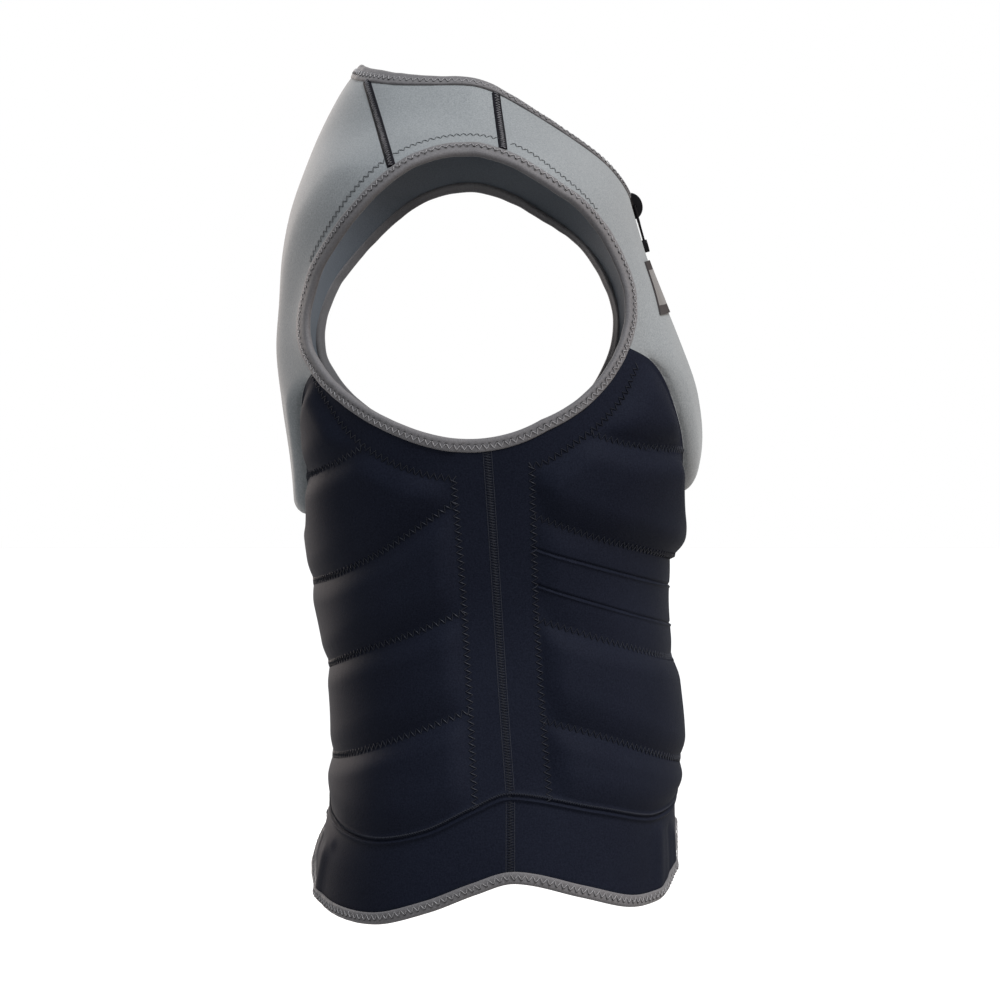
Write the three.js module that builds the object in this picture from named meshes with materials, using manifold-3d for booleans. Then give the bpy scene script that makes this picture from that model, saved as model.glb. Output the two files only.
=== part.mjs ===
// Impact vest for water sports: sleeveless, padded, zipped down the front.
// Millimetres, +Z up. The front faces -Y and the wearer's right is -X.
// The origin is on the mid-plane, inside the neck opening, at the height of the shoulder line.
import * as THREE from 'three';
import { mergeVertices } from 'three/addons/utils/BufferGeometryUtils.js';
import Module from 'manifold-3d';

const wasm = await Module();
wasm.setup();

// Cloth and padding
const CLOTH = 4; // wall where it isn't padded
const SET_BACK = 0.25; // each piece stops this far short of its seam line
const SHARPEST_MITRE = 0.3; // keeps the tip of a sharp corner from running far back
const QUILT_ROLL = 19; // width of the soft edge of the black pads
const BACK_PAD = { height: 8, roll: 16, flatZ: 10, fullZ: -110 };
const CHEST_PAD = { height: 7.5, roll: 16, flatZ: -95, fullZ: -200 };
const PAD_FADE = 45; // grey pads run out over this width towards the armhole
const EDGING = 4; // flat margin between a black pad and the grey panel
// Heights of the black pads from the top one down, at the mid-plane and at the side seam.
const PAD_HEIGHTS = table(['back', 'backSide', 'front', 'frontSide'], [
  [3.5, 6.5, 9.5, 8],
  [4.5, 6.5, 2.2, 3],
  [4, 6.5, 5.8, 6.5],
  [4.5, 6.5, 5.2, 6],
]);

// Trim
const NECK_BINDING = table(['angle', 'width'], [[0, 6], [80, 5.8], [105, 6.6], [130, 8.4], [180, 9.2]]);
const HEM_BINDING = 7.5;
const BINDING_PROUD = 1.1; // binding stands this far out of the cloth, on both faces
const TAPE = { half: 3, gap: 0.4, thick: 0.8, endGap: 2.6 };
// Patch on the chest: distances from the mid-plane at its top, how far it leans out and falls away
const PATCH = { inner: 33, outer: 75, low: -142, high: -104, lean: 22, fall: 4, gap: 0.5, thick: 0.8 };

// Zip, on the centre front
const ZIP_EDGE = 9; // from the mid-plane to the edge of a front panel
const ZIP_TAPE = { inner: 3.6, outer: 16, sunk: 4.6, thick: 1, endGap: 3 };
const ZIP_CHAIN = { half: 3.2, top: -65, sunk: 1.2, thick: 3.2 };

// Slider and pull, measured from a point of the cloth's face: out of the cloth, and up along it.
const SLIDER = { z: -64, half: 4.6, reach: 9.5, face: 0.9, plate: 1.6 };
const SLIDER_BACK = { half: 3, reach: 6.5, face: -4.9, plate: 1.7 };
const SLIDER_POST = { half: 1.2, low: 0.6, high: 6 };
const HOOD = { half: 2.6, reach: 9.5, top: 8 };
const SOCKET = { radius: 1.1, depth: 1 };
const STUD = { radius: 0.7, depth: 0.7 };
const PULL = {
  pinUp: -1,
  pinOut: 2.2,
  end: 0.7,
  thick: 1.6,
  armIn: 3,
  armOut: 4.4,
  fork: 11,
  tabHalf: 1.8,
  tabEnd: 25,
};
const GRIP = { half: 3, start: 24, end: 33, thick: 4 };

// Level sections of the trunk: where the cloth's outer face meets the mid-plane in front and behind,
// the middle and half width of the section, and the powers of its two half superellipses.
const SECTIONS = table(['z', 'front', 'back', 'middle', 'half', 'frontPower', 'backPower'], [
  [-570, -131, 123, 0, 164, 2.4, 2.4],
  [-515, -130, 122, 0, 162, 2.4, 2.4],
  [-475, -129, 110, 0, 159, 2.4, 2.4],
  [-430, -130, 107, 0, 154, 2.4, 2.4],
  [-380, -126, 111, 0, 151, 2.4, 2.4],
  [-330, -122, 120, 0, 152, 2.4, 2.4],
  [-280, -130, 127, 0, 160, 2.5, 2.5],
  [-235, -139, 131.5, 0, 168, 2.6, 2.6],
  [-200, -136.5, 136, 0, 171, 2.6, 2.6],
  [-165, -128.5, 140, 0, 171, 2.6, 2.6],
  [-130, -118.5, 138, 0, 171, 2.5, 2.5],
  [-100, -109.5, 136, 3, 169, 2.3, 2.4],
  [-70, -100.5, 133, 6, 163, 2.1, 2.3],
  [-45, -93, 127.5, 9, 149, 1.8, 2.2],
  [-15, -80, 118, 12, 108, 1.65, 2.1],
  [15, -62, 104, 14, 80, 1.6, 2.1],
  [40, -44, 87, 14, 56, 1.6, 2.1],
]);

// Height of the three edges that run round the trunk, by the angle from the front to the back.
const NECK = table(['angle', 'z'], [
  [0, -54], [14, -51], [23, -44.5], [32, -34], [42, -23.5], [53, -11.5], [63, -1], [76, 10.5], [88, 16.5],
  [110, 19], [127, 22], [147, 27.5], [180, 35.5],
]);
const WAIST = table(['angle', 'z'], [
  [0, -470], [15, -473], [33, -480], [46, -482], [64, -474], [85, -464], [93, -472], [105, -488],
  [118, -495], [132, -492], [146, -485], [165, -476], [180, -472],
]);
const HEM = table(['angle', 'z'], [
  [0, -489], [8, -504], [16, -519], [28, -529.5], [38, -537.5], [48, -540.5], [56, -539], [68, -531],
  [84, -521], [93, -528], [104, -540], [118, -550], [134, -548.5], [148, -542], [157, -536], [167, -523],
  [173, -509], [180, -490],
]);

// Armhole seen from the side: a ring about its centre, turning from the front over the top,
// where the binding is sewn on, and how wide the binding is in this view.
const ARM_CENTRE = { y: 12, z: -137 };
const ARMHOLE = table(['turn', 'seam', 'binding'], [
  [-60, 100, 7.5], [-25, 107.5, 6], [0, 109.5, 4.8], [30, 102.5, 4.8], [55, 97.5, 5.2], [72, 100, 6],
  [90, 104, 6.5], [110, 103.5, 6.2], [132, 100.5, 6], [150, 102.5, 6], [172, 112, 6], [192, 119.5, 6],
  [206, 116, 6.5], [222, 108.5, 7], [242, 102.5, 7.6], [270, 101, 8], [300, 100, 7.5],
]);
// Where the seams meet the armhole, as turns of that ring.
const ARM_SIDE = -84;
const ARM_FRONT_LINE = -67;
const ARM_FRONT_GREY = -17;
const ARM_FRONT_TAPE = 78;
const ARM_BACK_TAPE = 121;
const ARM_BACK_GREY = 204;
const ARM_BACK_LINE = 262.5;
// Where the shoulder seams meet the neck and the side seams meet the waist, as angles round the trunk.
const NECK_FRONT_TAPE = 78;
const NECK_BACK_TAPE = 146;
const WAIST_FRONT_LINE = 75.5;
const WAIST_SIDE = 85;
const WAIST_BACK_LINE = 93.3;

// Lower edge of the grey panels, from the armhole to the mid-plane.
const BACK_TONGUE = table(['x', 'z'], [
  [95, -193], [80, -206], [72, -225], [66, -250], [58, -270], [40, -278], [0, -280],
]);
const CHEST_EDGE = table(['x', 'z'], [
  [124, -175], [112, -184], [103, -197], [94, -212], [82, -229], [68, -246], [50, -258], [30, -263],
  [9, -264],
]);
const TONGUE_CORNER = 0.62; // share of that edge that belongs to the panel's side
const CHEST_CORNER = 0.66;

// Seam lines of the black panels, seen from the side.
const BACK_TOP_LINE = table(['y', 'z'], [
  [22, -256], [45, -252], [72, -241], [94, -224], [110, -202], [119, -186],
]);
const BACK_CHANNELS = [
  table(['y', 'z'], [[23, -271], [46, -287], [72, -304], [100, -318], [126, -327]]),
  table(['y', 'z'], [[17, -343], [49, -357], [84, -370], [116, -385]]),
  table(['y', 'z'], [[13, -408], [49, -423], [84, -437], [110, -446]]),
];
const BACK_SPLIT = table(['y', 'z'], [[84, -235], [105, -246], [131, -256]]);
const FRONT_TOP_LINE = table(['y', 'z'], [
  [-98, -180], [-90, -198], [-75, -217], [-59, -230], [-36, -245], [-26, -247],
]);
const FRONT_CHANNELS = [
  table(['y', 'z'], [[-130, -309], [-73, -295], [-29, -280]]),
  table(['y', 'z'], [[-128, -379], [-65, -359], [-31, -348]]),
  table(['y', 'z'], [[-133, -449], [-77, -427], [-37, -415]]),
];
const FRONT_SPLIT = table(['y', 'z'], [[-134, -236], [-93, -233], [-67, -226]]);

// Facets of the pieces
const COLUMNS = { backTongue: 5, chestEdge: 8, greySide: 5, armhole: 5, strip: 1 };
const ROWS = { greyArm: 8, yoke: 5, tape: 3, band: 1 };
const PATCH_CELLS = { rows: 3, columns: 3 };
const PAD_STEPS = [0.16, 0.5, 0.84, 1];
const FLAT_STEPS = [0.33, 0.67, 1];
const TOP_STEPS = [0.14, 0.3, 0.46, 0.64, 0.84, 1];
const LONG_PAD_STEPS = [0.13, 0.37, 0.63, 0.87, 1];
const LINE_SAMPLES = 16;

// Colours
const GREY = { color: 0x9ba5aa, roughness: 0.85, metalness: 0 };
const BLACK = { color: 0x16181f, roughness: 0.8, metalness: 0 };
const TRIM = { color: 0x82808a, roughness: 0.75, metalness: 0 };
const ZIP = { color: 0x101114, roughness: 0.4, metalness: 0 };

function table(columns, rows) {
  return rows.map((row) => Object.fromEntries(columns.map((name, k) => [name, row[k]])));
}

// Smooth curve through a table: the value of one column where another has a given value.
function spline(rows, key, name) {
  const at = rows.map((row) => row[key]);
  const value = rows.map((row) => row[name]);
  const slope = at.map((_, i) => {
    const lo = Math.max(i - 1, 0);
    const hi = Math.min(i + 1, at.length - 1);
    return (value[hi] - value[lo]) / (at[hi] - at[lo]);
  });
  return (x) => {
    const next = at.findIndex((mark, k) => k > 0 && x <= mark);
    const i = (next < 0 ? at.length - 1 : next) - 1;
    const step = at[i + 1] - at[i];
    const t = THREE.MathUtils.clamp((x - at[i]) / step, 0, 1);
    const rise = t * t * (3 - 2 * t);
    const lead = slope[i] * t * (1 - t) * (1 - t) - slope[i + 1] * t * t * (1 - t);
    return value[i] + (value[i + 1] - value[i]) * rise + lead * step;
  };
}

const section = {};
for (const name of Object.keys(SECTIONS[0]).slice(1)) {
  section[name] = spline(SECTIONS, 'z', name);
}
const neckHeight = spline(NECK, 'angle', 'z');
const waistHeight = spline(WAIST, 'angle', 'z');
const hemHeight = spline(HEM, 'angle', 'z');
const neckBinding = spline(NECK_BINDING, 'angle', 'width');
const armSeam = spline(ARMHOLE, 'turn', 'seam');
const armBindingWidth = spline(ARMHOLE, 'turn', 'binding');

// The cloth's outer face. A spot on it is a height and an angle round the trunk:
// 0 at the front, 90 on the wearer's right, 180 at the back.
function spot(angle, z) {
  return { angle, z };
}

function depthAt(cosine, z) {
  const middle = section.middle(z);
  return cosine > 0 ? middle - section.front(z) : section.back(z) - middle;
}

function powerAt(cosine, z) {
  return cosine > 0 ? section.frontPower(z) : section.backPower(z);
}

function pointAt({ angle, z }) {
  const turn = THREE.MathUtils.degToRad(angle);
  const cosine = Math.cos(turn);
  const sine = Math.sin(turn);
  const power = powerAt(cosine, z);
  const depth = depthAt(cosine, z);
  const sum = Math.abs(cosine / depth) ** power + Math.abs(sine / section.half(z)) ** power;
  const radius = sum ** (-1 / power);
  return new THREE.Vector3(-radius * sine, section.middle(z) - radius * cosine, z);
}

function normalAt({ angle, z }) {
  const round = pointAt(spot(angle + 0.5, z)).sub(pointAt(spot(angle - 0.5, z)));
  const up = pointAt(spot(angle, z + 0.5)).sub(pointAt(spot(angle, z - 0.5)));
  return up.cross(round).normalize();
}

// Spot on the right-hand side that is seen at a given depth and height from the side.
function fromSide(y, z) {
  const reach = y - section.middle(z);
  const power = powerAt(-reach, z);
  const share = Math.min(Math.abs(reach) / depthAt(-reach, z), 1);
  const x = section.half(z) * (1 - share ** power) ** (1 / power);
  return spot(THREE.MathUtils.radToDeg(Math.atan2(x, -reach)), z);
}

// Spot at a given distance from the mid-plane, on the front (facing 1) or the back (facing -1).
function fromMiddle(x, z, facing) {
  const power = powerAt(facing, z);
  const share = Math.min(x / section.half(z), 1);
  const depth = depthAt(facing, z) * (1 - share ** power) ** (1 / power);
  return spot(THREE.MathUtils.radToDeg(Math.atan2(x, facing * depth)), z);
}

function mirror(at) {
  return spot(-at.angle, at.z);
}

function between(a, b, t) {
  return spot(THREE.MathUtils.lerp(a.angle, b.angle, t), THREE.MathUtils.lerp(a.z, b.z, t));
}

// A line of spots: `count` steps of a function of 0 to 1.
function line(count, at) {
  return Array.from({ length: count + 1 }, (_, i) => at(i / count));
}

// Spot on the seam of the armhole, or part of the way across its binding to the free edge.
function armSpot(turn, across = 0) {
  const angle = THREE.MathUtils.degToRad(turn);
  const first = ARMHOLE[0].turn;
  const place = THREE.MathUtils.euclideanModulo(turn - first, 360) + first;
  const radius = armSeam(place) - across * armBindingWidth(place);
  return fromSide(ARM_CENTRE.y - radius * Math.cos(angle), ARM_CENTRE.z + radius * Math.sin(angle));
}

function armLine(from, to, count, across = 0) {
  return line(count, (t) => armSpot(THREE.MathUtils.lerp(from, to, t), across));
}

function neckLine(from, to, count) {
  return line(count, (t) => {
    const angle = THREE.MathUtils.lerp(from, to, t);
    return spot(angle, neckHeight(angle) - neckBinding(angle));
  });
}

// Line between two spots of the right-hand side that is straight when seen from the side.
function straightLine(a, b, count) {
  return line(count, (t) => {
    const point = pointAt(a).lerp(pointAt(b), t);
    return fromSide(point.y, point.z);
  });
}

function zipSpot(z, x = ZIP_EDGE) {
  return fromMiddle(x, z, 1);
}

// Lower edge of a grey panel from the armhole inwards, as a function of 0 to 1.
function greyEdge(rows, start, facing) {
  const first = pointAt(start);
  const points = [{ x: -first.x, z: first.z }, ...rows].map((row, i) => ({ ...row, i }));
  const x = spline(points, 'i', 'x');
  const z = spline(points, 'i', 'z');
  return (t) => fromMiddle(x(t * rows.length), z(t * rows.length), facing);
}

function sideLine(rows) {
  const z = spline(rows, 'y', 'z');
  const first = rows[0].y;
  const last = rows[rows.length - 1].y;
  return line(LINE_SAMPLES, (t) => {
    const y = THREE.MathUtils.lerp(first, last, t);
    return fromSide(y, z(y));
  });
}

// Distance from a point to the nearest of several lines of spots, all on the right-hand side.
function seamDistance(lines) {
  const paths = lines.map((spots) => spots.map(pointAt));
  const nearest = new THREE.Vector3();
  const piece = new THREE.Line3();
  return (point) => {
    const probe = new THREE.Vector3(-Math.abs(point.x), point.y, point.z);
    let least = Infinity;
    for (const path of paths) {
      for (let i = 0; i + 1 < path.length; i += 1) {
        piece.set(path[i], path[i + 1]).closestPointToPoint(probe, true, nearest);
        least = Math.min(least, nearest.distanceTo(probe));
      }
    }
    return least;
  };
}

// Rounded edge of a pad: 0 on the seam, 1 from the roll width inwards.
function dome(distance, roll) {
  const rest = 1 - THREE.MathUtils.clamp(distance / roll, 0, 1);
  return Math.sqrt(1 - rest * rest);
}

// Soft edge of a quilted pad: it slopes up from the seam, and is full from the roll width inwards.
function swell(distance, roll) {
  return Math.sin((Math.PI / 2) * THREE.MathUtils.clamp(distance / roll, 0, 1));
}

// Grid of spots inside four edges. `left` and `right` run upwards, `bottom` and `top` from left to right.
// Rows are straight between the sides, and take on the bend of the bottom or top only close to it.
function fill(left, right, bottom, top) {
  const rows = left.length - 1;
  const columns = bottom.length - 1;
  const bend = (edge, j) => {
    const chord = between(edge[0], edge[columns], j / columns);
    return spot(edge[j].angle - chord.angle, edge[j].z - chord.z);
  };
  return left.map((start, i) => bottom.map((_, j) => {
    const across = between(start, right[i], j / columns);
    const low = bend(bottom, j);
    const high = bend(top, j);
    const lowShare = (1 - i / rows) ** 3;
    const highShare = (i / rows) ** 3;
    return spot(
      across.angle + low.angle * lowShare + high.angle * highShare,
      across.z + low.z * lowShare + high.z * highShare,
    );
  }));
}

// Both halves of a grid whose first column is the mid-plane of the back.
function bothHalves(grid) {
  return grid.map((row) => [...row.slice(1).reverse().map(mirror), ...row]);
}

function mirrorGrid(grid) {
  return grid.map((row) => row.map(mirror));
}

// Rims of a grid, as loops of row and column numbers. A ring of rows has two rims, any other grid one.
function rims(rows, columns, ring) {
  const down = (j) => Array.from({ length: rows }, (_, i) => [i, j]);
  if (ring) return [down(0), down(columns - 1)];
  const across = (i) => Array.from({ length: columns }, (_, j) => [i, j]);
  const back = [...across(rows - 1).reverse(), ...down(0).reverse().slice(1, -1)];
  return [[...across(0), ...down(columns - 1).slice(1, -1), ...back]];
}

// Moves the rims of a grid of points inwards along the cloth, so that neighbours keep a gap.
function setBack(points, normals, ring) {
  const moved = points.map((row) => row.map((point) => point.clone()));
  const at = ([i, j]) => points[i][j];
  for (const rim of rims(points.length, points[0].length, ring)) {
    const [first, second] = [rim[1], rim[2]];
    const inwards = ring ? [first[0], first[1] ? first[1] - 1 : 1] : [1, first[1]];
    const trial = normals[first[0]][first[1]].clone().cross(at(second).clone().sub(at(first)));
    const sign = Math.sign(trial.dot(at(inwards).clone().sub(at(first))));
    rim.forEach(([i, j], k) => {
      const steps = [
        at([i, j]).clone().sub(at(rim.at(k - 1))),
        at(rim[(k + 1) % rim.length]).clone().sub(at([i, j])),
      ];
      const sides = steps.map((step) => normals[i][j].clone().cross(step).normalize());
      const middle = sides[0].clone().add(sides[1]).normalize();
      const mitre = Math.max(middle.dot(sides[0]), SHARPEST_MITRE);
      moved[i][j].addScaledVector(middle, (sign * SET_BACK) / mitre);
    });
  }
  return moved;
}

// Closed solid between an outer and an inner face, both offset from a grid of spots along the normal.
// Each offset is a function of the point, its spot and its column.
function thicken(grid, outer, inner, ring = false) {
  const points = grid.map((row) => row.map(pointAt));
  const normals = grid.map((row) => row.map(normalAt));
  const rim = setBack(points, normals, ring);
  const rows = grid.length;
  const columns = grid[0].length;
  const count = rows * columns;
  const positions = [];
  for (const offset of [outer, inner]) {
    for (let i = 0; i < rows; i += 1) {
      for (let j = 0; j < columns; j += 1) {
        const out = offset({ point: points[i][j], at: grid[i][j], column: j });
        positions.push(...rim[i][j].clone().addScaledVector(normals[i][j], out));
      }
    }
  }
  const down = points[1][0].clone().sub(points[0][0]);
  const across = points[0][1].clone().sub(points[0][0]);
  const flip = down.cross(across).dot(normals[0][0]) < 0;
  const face = [];
  for (let i = 0; i < (ring ? rows : rows - 1); i += 1) {
    for (let j = 0; j + 1 < columns; j += 1) {
      const a = i * columns + j;
      const b = ((i + 1) % rows) * columns + j;
      const below = points[(i + 1) % rows];
      const straight = points[i][j].distanceTo(below[j + 1]) < points[i][j + 1].distanceTo(below[j]);
      const halves = straight ? [[a, b + 1, a + 1], [a, b, b + 1]] : [[a, b, a + 1], [b, b + 1, a + 1]];
      face.push(...halves.map(([p, q, r]) => (flip ? [p, r, q] : [p, q, r])));
    }
  }
  const open = new Set();
  for (const [a, b, c] of face) {
    for (const [from, to] of [[a, b], [b, c], [c, a]]) {
      if (!open.delete(`${to} ${from}`)) open.add(`${from} ${to}`);
    }
  }
  const index = face.flat();
  for (const [a, b, c] of face) {
    index.push(a + count, c + count, b + count);
  }
  const corner = (k) => new THREE.Vector3().fromArray(positions, 3 * k);
  const span = (a, b) => corner(a).distanceTo(corner(b));
  for (const edge of open) {
    const [from, to] = edge.split(' ').map(Number);
    const leaning = span(to, from + count) < span(from, to + count);
    index.push(to, from, leaning ? from + count : to + count);
    index.push(leaning ? to : from, from + count, to + count);
  }
  const geometry = new THREE.BufferGeometry();
  geometry.setAttribute('position', new THREE.Float32BufferAttribute(positions, 3));
  geometry.setIndex(index);
  geometry.computeVertexNormals();
  return geometry;
}

const vest = new THREE.Group();

function addPiece(name, geometry, finish, parent = vest) {
  const mesh = new THREE.Mesh(geometry, new THREE.MeshStandardMaterial(finish));
  mesh.name = name;
  parent.add(mesh);
}

const lining = () => -CLOTH;
const flat = () => 0;

// Seams of the right half. The left half mirrors them.
const armBackGrey = armSpot(ARM_BACK_GREY);
const armFrontGrey = armSpot(ARM_FRONT_GREY);
const backEdge = greyEdge(BACK_TONGUE, armBackGrey, -1);
const chestEdge = greyEdge(CHEST_EDGE, armFrontGrey, 1);
const backSide = line(COLUMNS.greySide, (t) => backEdge(TONGUE_CORNER * t));
const backBottom = line(COLUMNS.backTongue, (t) => backEdge(THREE.MathUtils.lerp(TONGUE_CORNER, 1, t)));
const chestSide = line(COLUMNS.greySide, (t) => chestEdge(CHEST_CORNER * t));
const chestBottom = line(COLUMNS.chestEdge, (t) => chestEdge(THREE.MathUtils.lerp(CHEST_CORNER, 1, t)));
const armBack = armLine(ARM_BACK_GREY, ARM_BACK_TAPE, ROWS.greyArm);
const armFront = armLine(ARM_FRONT_GREY, ARM_FRONT_TAPE, ROWS.greyArm);
const armTop = armLine(ARM_BACK_TAPE, ARM_FRONT_TAPE, ROWS.yoke);
const neckBack = neckLine(180, NECK_BACK_TAPE, COLUMNS.backTongue);
const neckTop = neckLine(NECK_BACK_TAPE, NECK_FRONT_TAPE, ROWS.yoke);
const zipTop = zipSpot(neckHeight(0) - neckBinding(0));
const neckFront = neckLine(zipTop.angle, NECK_FRONT_TAPE, COLUMNS.chestEdge);
const tapeBack = straightLine(armBack[ROWS.greyArm], neckBack[COLUMNS.backTongue], ROWS.tape);
const tapeFront = straightLine(armFront[ROWS.greyArm], neckFront[COLUMNS.chestEdge], ROWS.tape);

// Spots of a straight edge, in step with the length along the opposite edge.
function inStep(edge, low, high, at) {
  const points = edge.map(pointAt);
  const lengths = points.map((point, i) => (i ? point.distanceTo(points[i - 1]) : 0));
  const whole = lengths.reduce((sum, length) => sum + length);
  let run = 0;
  return lengths.map((length) => {
    run += length;
    return at(THREE.MathUtils.lerp(low, high, run / whole));
  });
}

function backUpperGrid() {
  const side = [...backSide.slice().reverse(), ...armBack.slice(1), ...tapeBack.slice(1)];
  const bottom = backBottom.slice().reverse();
  const middle = inStep(side, bottom[0].z, neckBack[0].z, (z) => spot(180, z));
  return fill(middle, side, bottom, neckBack);
}

function chestGrid() {
  const side = [...chestSide.slice().reverse(), ...armFront.slice(1), ...tapeFront.slice(1)];
  const bottom = chestBottom.slice().reverse();
  const zip = inStep(side, bottom[0].z, neckFront[0].z, (z) => zipSpot(z));
  return fill(zip, side, bottom, neckFront);
}

// Grey panels: a pad that fades out upwards and towards the armhole, and rolls over at its lower edge.
function greyPad(pad, edge, armhole, tape, extra) {
  const toEdge = seamDistance([edge, ...extra]);
  const toArm = seamDistance([armhole, tape]);
  return ({ point }) => {
    const full = THREE.MathUtils.smoothstep(-point.z, -pad.flatZ, -pad.fullZ);
    const fade = THREE.MathUtils.smoothstep(toArm(point), 0, PAD_FADE);
    return pad.height * full * fade * dome(toEdge(point), pad.roll);
  };
}

const zipLine = line(LINE_SAMPLES, (t) => zipSpot(THREE.MathUtils.lerp(waistHeight(0), neckHeight(0), t)));
const backGrid = backUpperGrid();
const backPad = greyPad(BACK_PAD, [...backSide, ...backBottom], armBack, tapeBack, []);
addPiece('back_upper', thicken(bothHalves(backGrid), backPad, lining), GREY);

const chest = chestGrid();
const chestPad = greyPad(CHEST_PAD, [...chestSide, ...chestBottom], armFront, tapeFront, [zipLine]);
addPiece('chest_right', thicken(chest, chestPad, lining), GREY);
addPiece('chest_left', thicken(mirrorGrid(chest), chestPad, lining), GREY);

const yoke = fill(tapeBack, tapeFront, armTop, neckTop);
addPiece('shoulder_right', thicken(yoke, flat, lining), GREY);
addPiece('shoulder_left', thicken(mirrorGrid(yoke), flat, lining), GREY);

// Black panels: columns run from the grey edge and the armhole down to the waist seam,
// and their rows follow the stitched channels.
function rowHeights(start, end, channels, steps) {
  const column = (t) => between(start, end, t);
  const marks = [0];
  for (const channel of channels) {
    const height = spline(channel, 'y', 'z');
    let [lo, hi] = [marks[marks.length - 1], 1];
    while (hi - lo > 1e-4) {
      const t = (lo + hi) / 2;
      const point = pointAt(column(t));
      [lo, hi] = point.z > height(point.y) ? [t, hi] : [lo, t];
    }
    marks.push(lo);
  }
  marks.push(1);
  const shares = [0];
  steps.forEach((list, k) => {
    shares.push(...list.map((step) => THREE.MathUtils.lerp(marks[k], marks[k + 1], step)));
  });
  return shares.map(column);
}

function quiltGrid(top, waist, channels, steps) {
  const rows = steps.flat().length;
  const seam = line(rows, (t) => between(top[top.length - 1], waist[waist.length - 1], t));
  const columns = top.slice(0, -1).map((start, j) => rowHeights(start, waist[j], channels, steps));
  columns.push(seam);
  return seam.map((_, i) => columns.map((column) => column[i]));
}

function waistLine(from, to, count) {
  return line(count, (t) => {
    const angle = THREE.MathUtils.lerp(from, to, t);
    return spot(angle, waistHeight(angle));
  });
}

// Black pads of the back or front, one above each channel and one below the last.
function quiltPad(side, channels, lines, topLine, inside) {
  const toSeam = seamDistance(lines);
  const limit = spline(topLine, 'y', 'z');
  const marks = channels.map((channel) => spline(channel, 'y', 'z'));
  return ({ point, at }) => {
    if (!inside(at) || point.z > limit(point.y)) return 0;
    const pad = PAD_HEIGHTS[marks.filter((mark) => point.z < mark(point.y)).length];
    const aside = Math.sin(THREE.MathUtils.degToRad(at.angle)) ** 2;
    const height = THREE.MathUtils.lerp(pad[side], pad[`${side}Side`], aside);
    return height * swell(toSeam(point) - EDGING / 2, QUILT_ROLL);
  };
}

const zipBottom = zipSpot(waistHeight(0));
const backColumns = COLUMNS.backTongue + COLUMNS.greySide + COLUMNS.armhole;
const frontColumns = COLUMNS.chestEdge + COLUMNS.greySide + COLUMNS.armhole;
const backTop = [
  ...backBottom.slice().reverse(),
  ...backSide.slice().reverse().slice(1),
  ...armLine(ARM_BACK_GREY, ARM_BACK_LINE, COLUMNS.armhole).slice(1),
  ...armLine(ARM_BACK_LINE, 360 + ARM_SIDE, COLUMNS.strip).slice(1),
];
const frontTop = [
  ...chestBottom.slice().reverse(),
  ...chestSide.slice().reverse().slice(1),
  ...armLine(ARM_FRONT_GREY, ARM_FRONT_LINE, COLUMNS.armhole).slice(1),
  ...armLine(ARM_FRONT_LINE, ARM_SIDE, COLUMNS.strip).slice(1),
];
const backWaist = [
  ...waistLine(180, WAIST_BACK_LINE, backColumns),
  ...waistLine(WAIST_BACK_LINE, WAIST_SIDE, COLUMNS.strip).slice(1),
];
const frontWaist = [
  ...waistLine(zipBottom.angle, WAIST_FRONT_LINE, frontColumns),
  ...waistLine(WAIST_FRONT_LINE, WAIST_SIDE, COLUMNS.strip).slice(1),
];

function stripLine(top, waist, column) {
  return line(LINE_SAMPLES, (t) => between(top[column], waist[column], t));
}

function angleOn(lineSpots, z) {
  const first = lineSpots[0];
  const last = lineSpots[lineSpots.length - 1];
  return THREE.MathUtils.mapLinear(z, first.z, last.z, first.angle, last.angle);
}

const backLine = stripLine(backTop, backWaist, backColumns);
const frontLine = stripLine(frontTop, frontWaist, frontColumns);
const backSteps = [TOP_STEPS, PAD_STEPS, PAD_STEPS, PAD_STEPS];
const frontSteps = [TOP_STEPS, FLAT_STEPS, LONG_PAD_STEPS, PAD_STEPS];
const backQuilt = quiltPad(
  'back',
  BACK_CHANNELS,
  [...BACK_CHANNELS, BACK_SPLIT, BACK_TOP_LINE].map(sideLine)
    .concat([backLine, backWaist, [...backSide, ...backBottom]]),
  BACK_TOP_LINE,
  ({ angle, z }) => Math.abs(angle) > angleOn(backLine, z),
);
const frontQuilt = quiltPad(
  'front',
  FRONT_CHANNELS,
  [...FRONT_CHANNELS, FRONT_SPLIT, FRONT_TOP_LINE].map(sideLine)
    .concat([frontLine, frontWaist, zipLine, [...chestSide, ...chestBottom]]),
  FRONT_TOP_LINE,
  ({ angle, z }) => Math.abs(angle) < angleOn(frontLine, z),
);
const backLower = quiltGrid(backTop, backWaist, BACK_CHANNELS, backSteps);
const frontLower = quiltGrid(frontTop, frontWaist, FRONT_CHANNELS, frontSteps);
addPiece('back_lower', thicken(bothHalves(backLower), backQuilt, lining), BLACK);
addPiece('front_lower_right', thicken(frontLower, frontQuilt, lining), BLACK);
addPiece('front_lower_left', thicken(mirrorGrid(frontLower), frontQuilt, lining), BLACK);

// A line moved sideways along the cloth by a width.
function aside(spots, width) {
  return spots.map((at, i) => {
    const before = pointAt(spots[Math.max(i - 1, 0)]);
    const along = pointAt(spots[Math.min(i + 1, spots.length - 1)]).sub(before);
    const side = normalAt(at).cross(along).normalize();
    const moved = pointAt(at).addScaledVector(side, width);
    const reach = moved.y - section.middle(moved.z);
    return spot(THREE.MathUtils.radToDeg(Math.atan2(-moved.x, -reach)), moved.z);
  });
}

function ruled(lower, upper, count) {
  return line(count, (t) => lower.map((at, j) => between(at, upper[j], t)));
}

// A line from the front to the back, carried on round the other half to the front again.
function wholeRound(right) {
  const left = right.slice(0, -1).reverse().map(({ angle, z }) => spot(360 - angle, z));
  return [...right, ...left];
}

// Waist band, from the waist seam down to the hem binding.
function hemEdge(waist) {
  return waist.map(({ angle }) => spot(angle, hemHeight(angle)));
}

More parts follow.
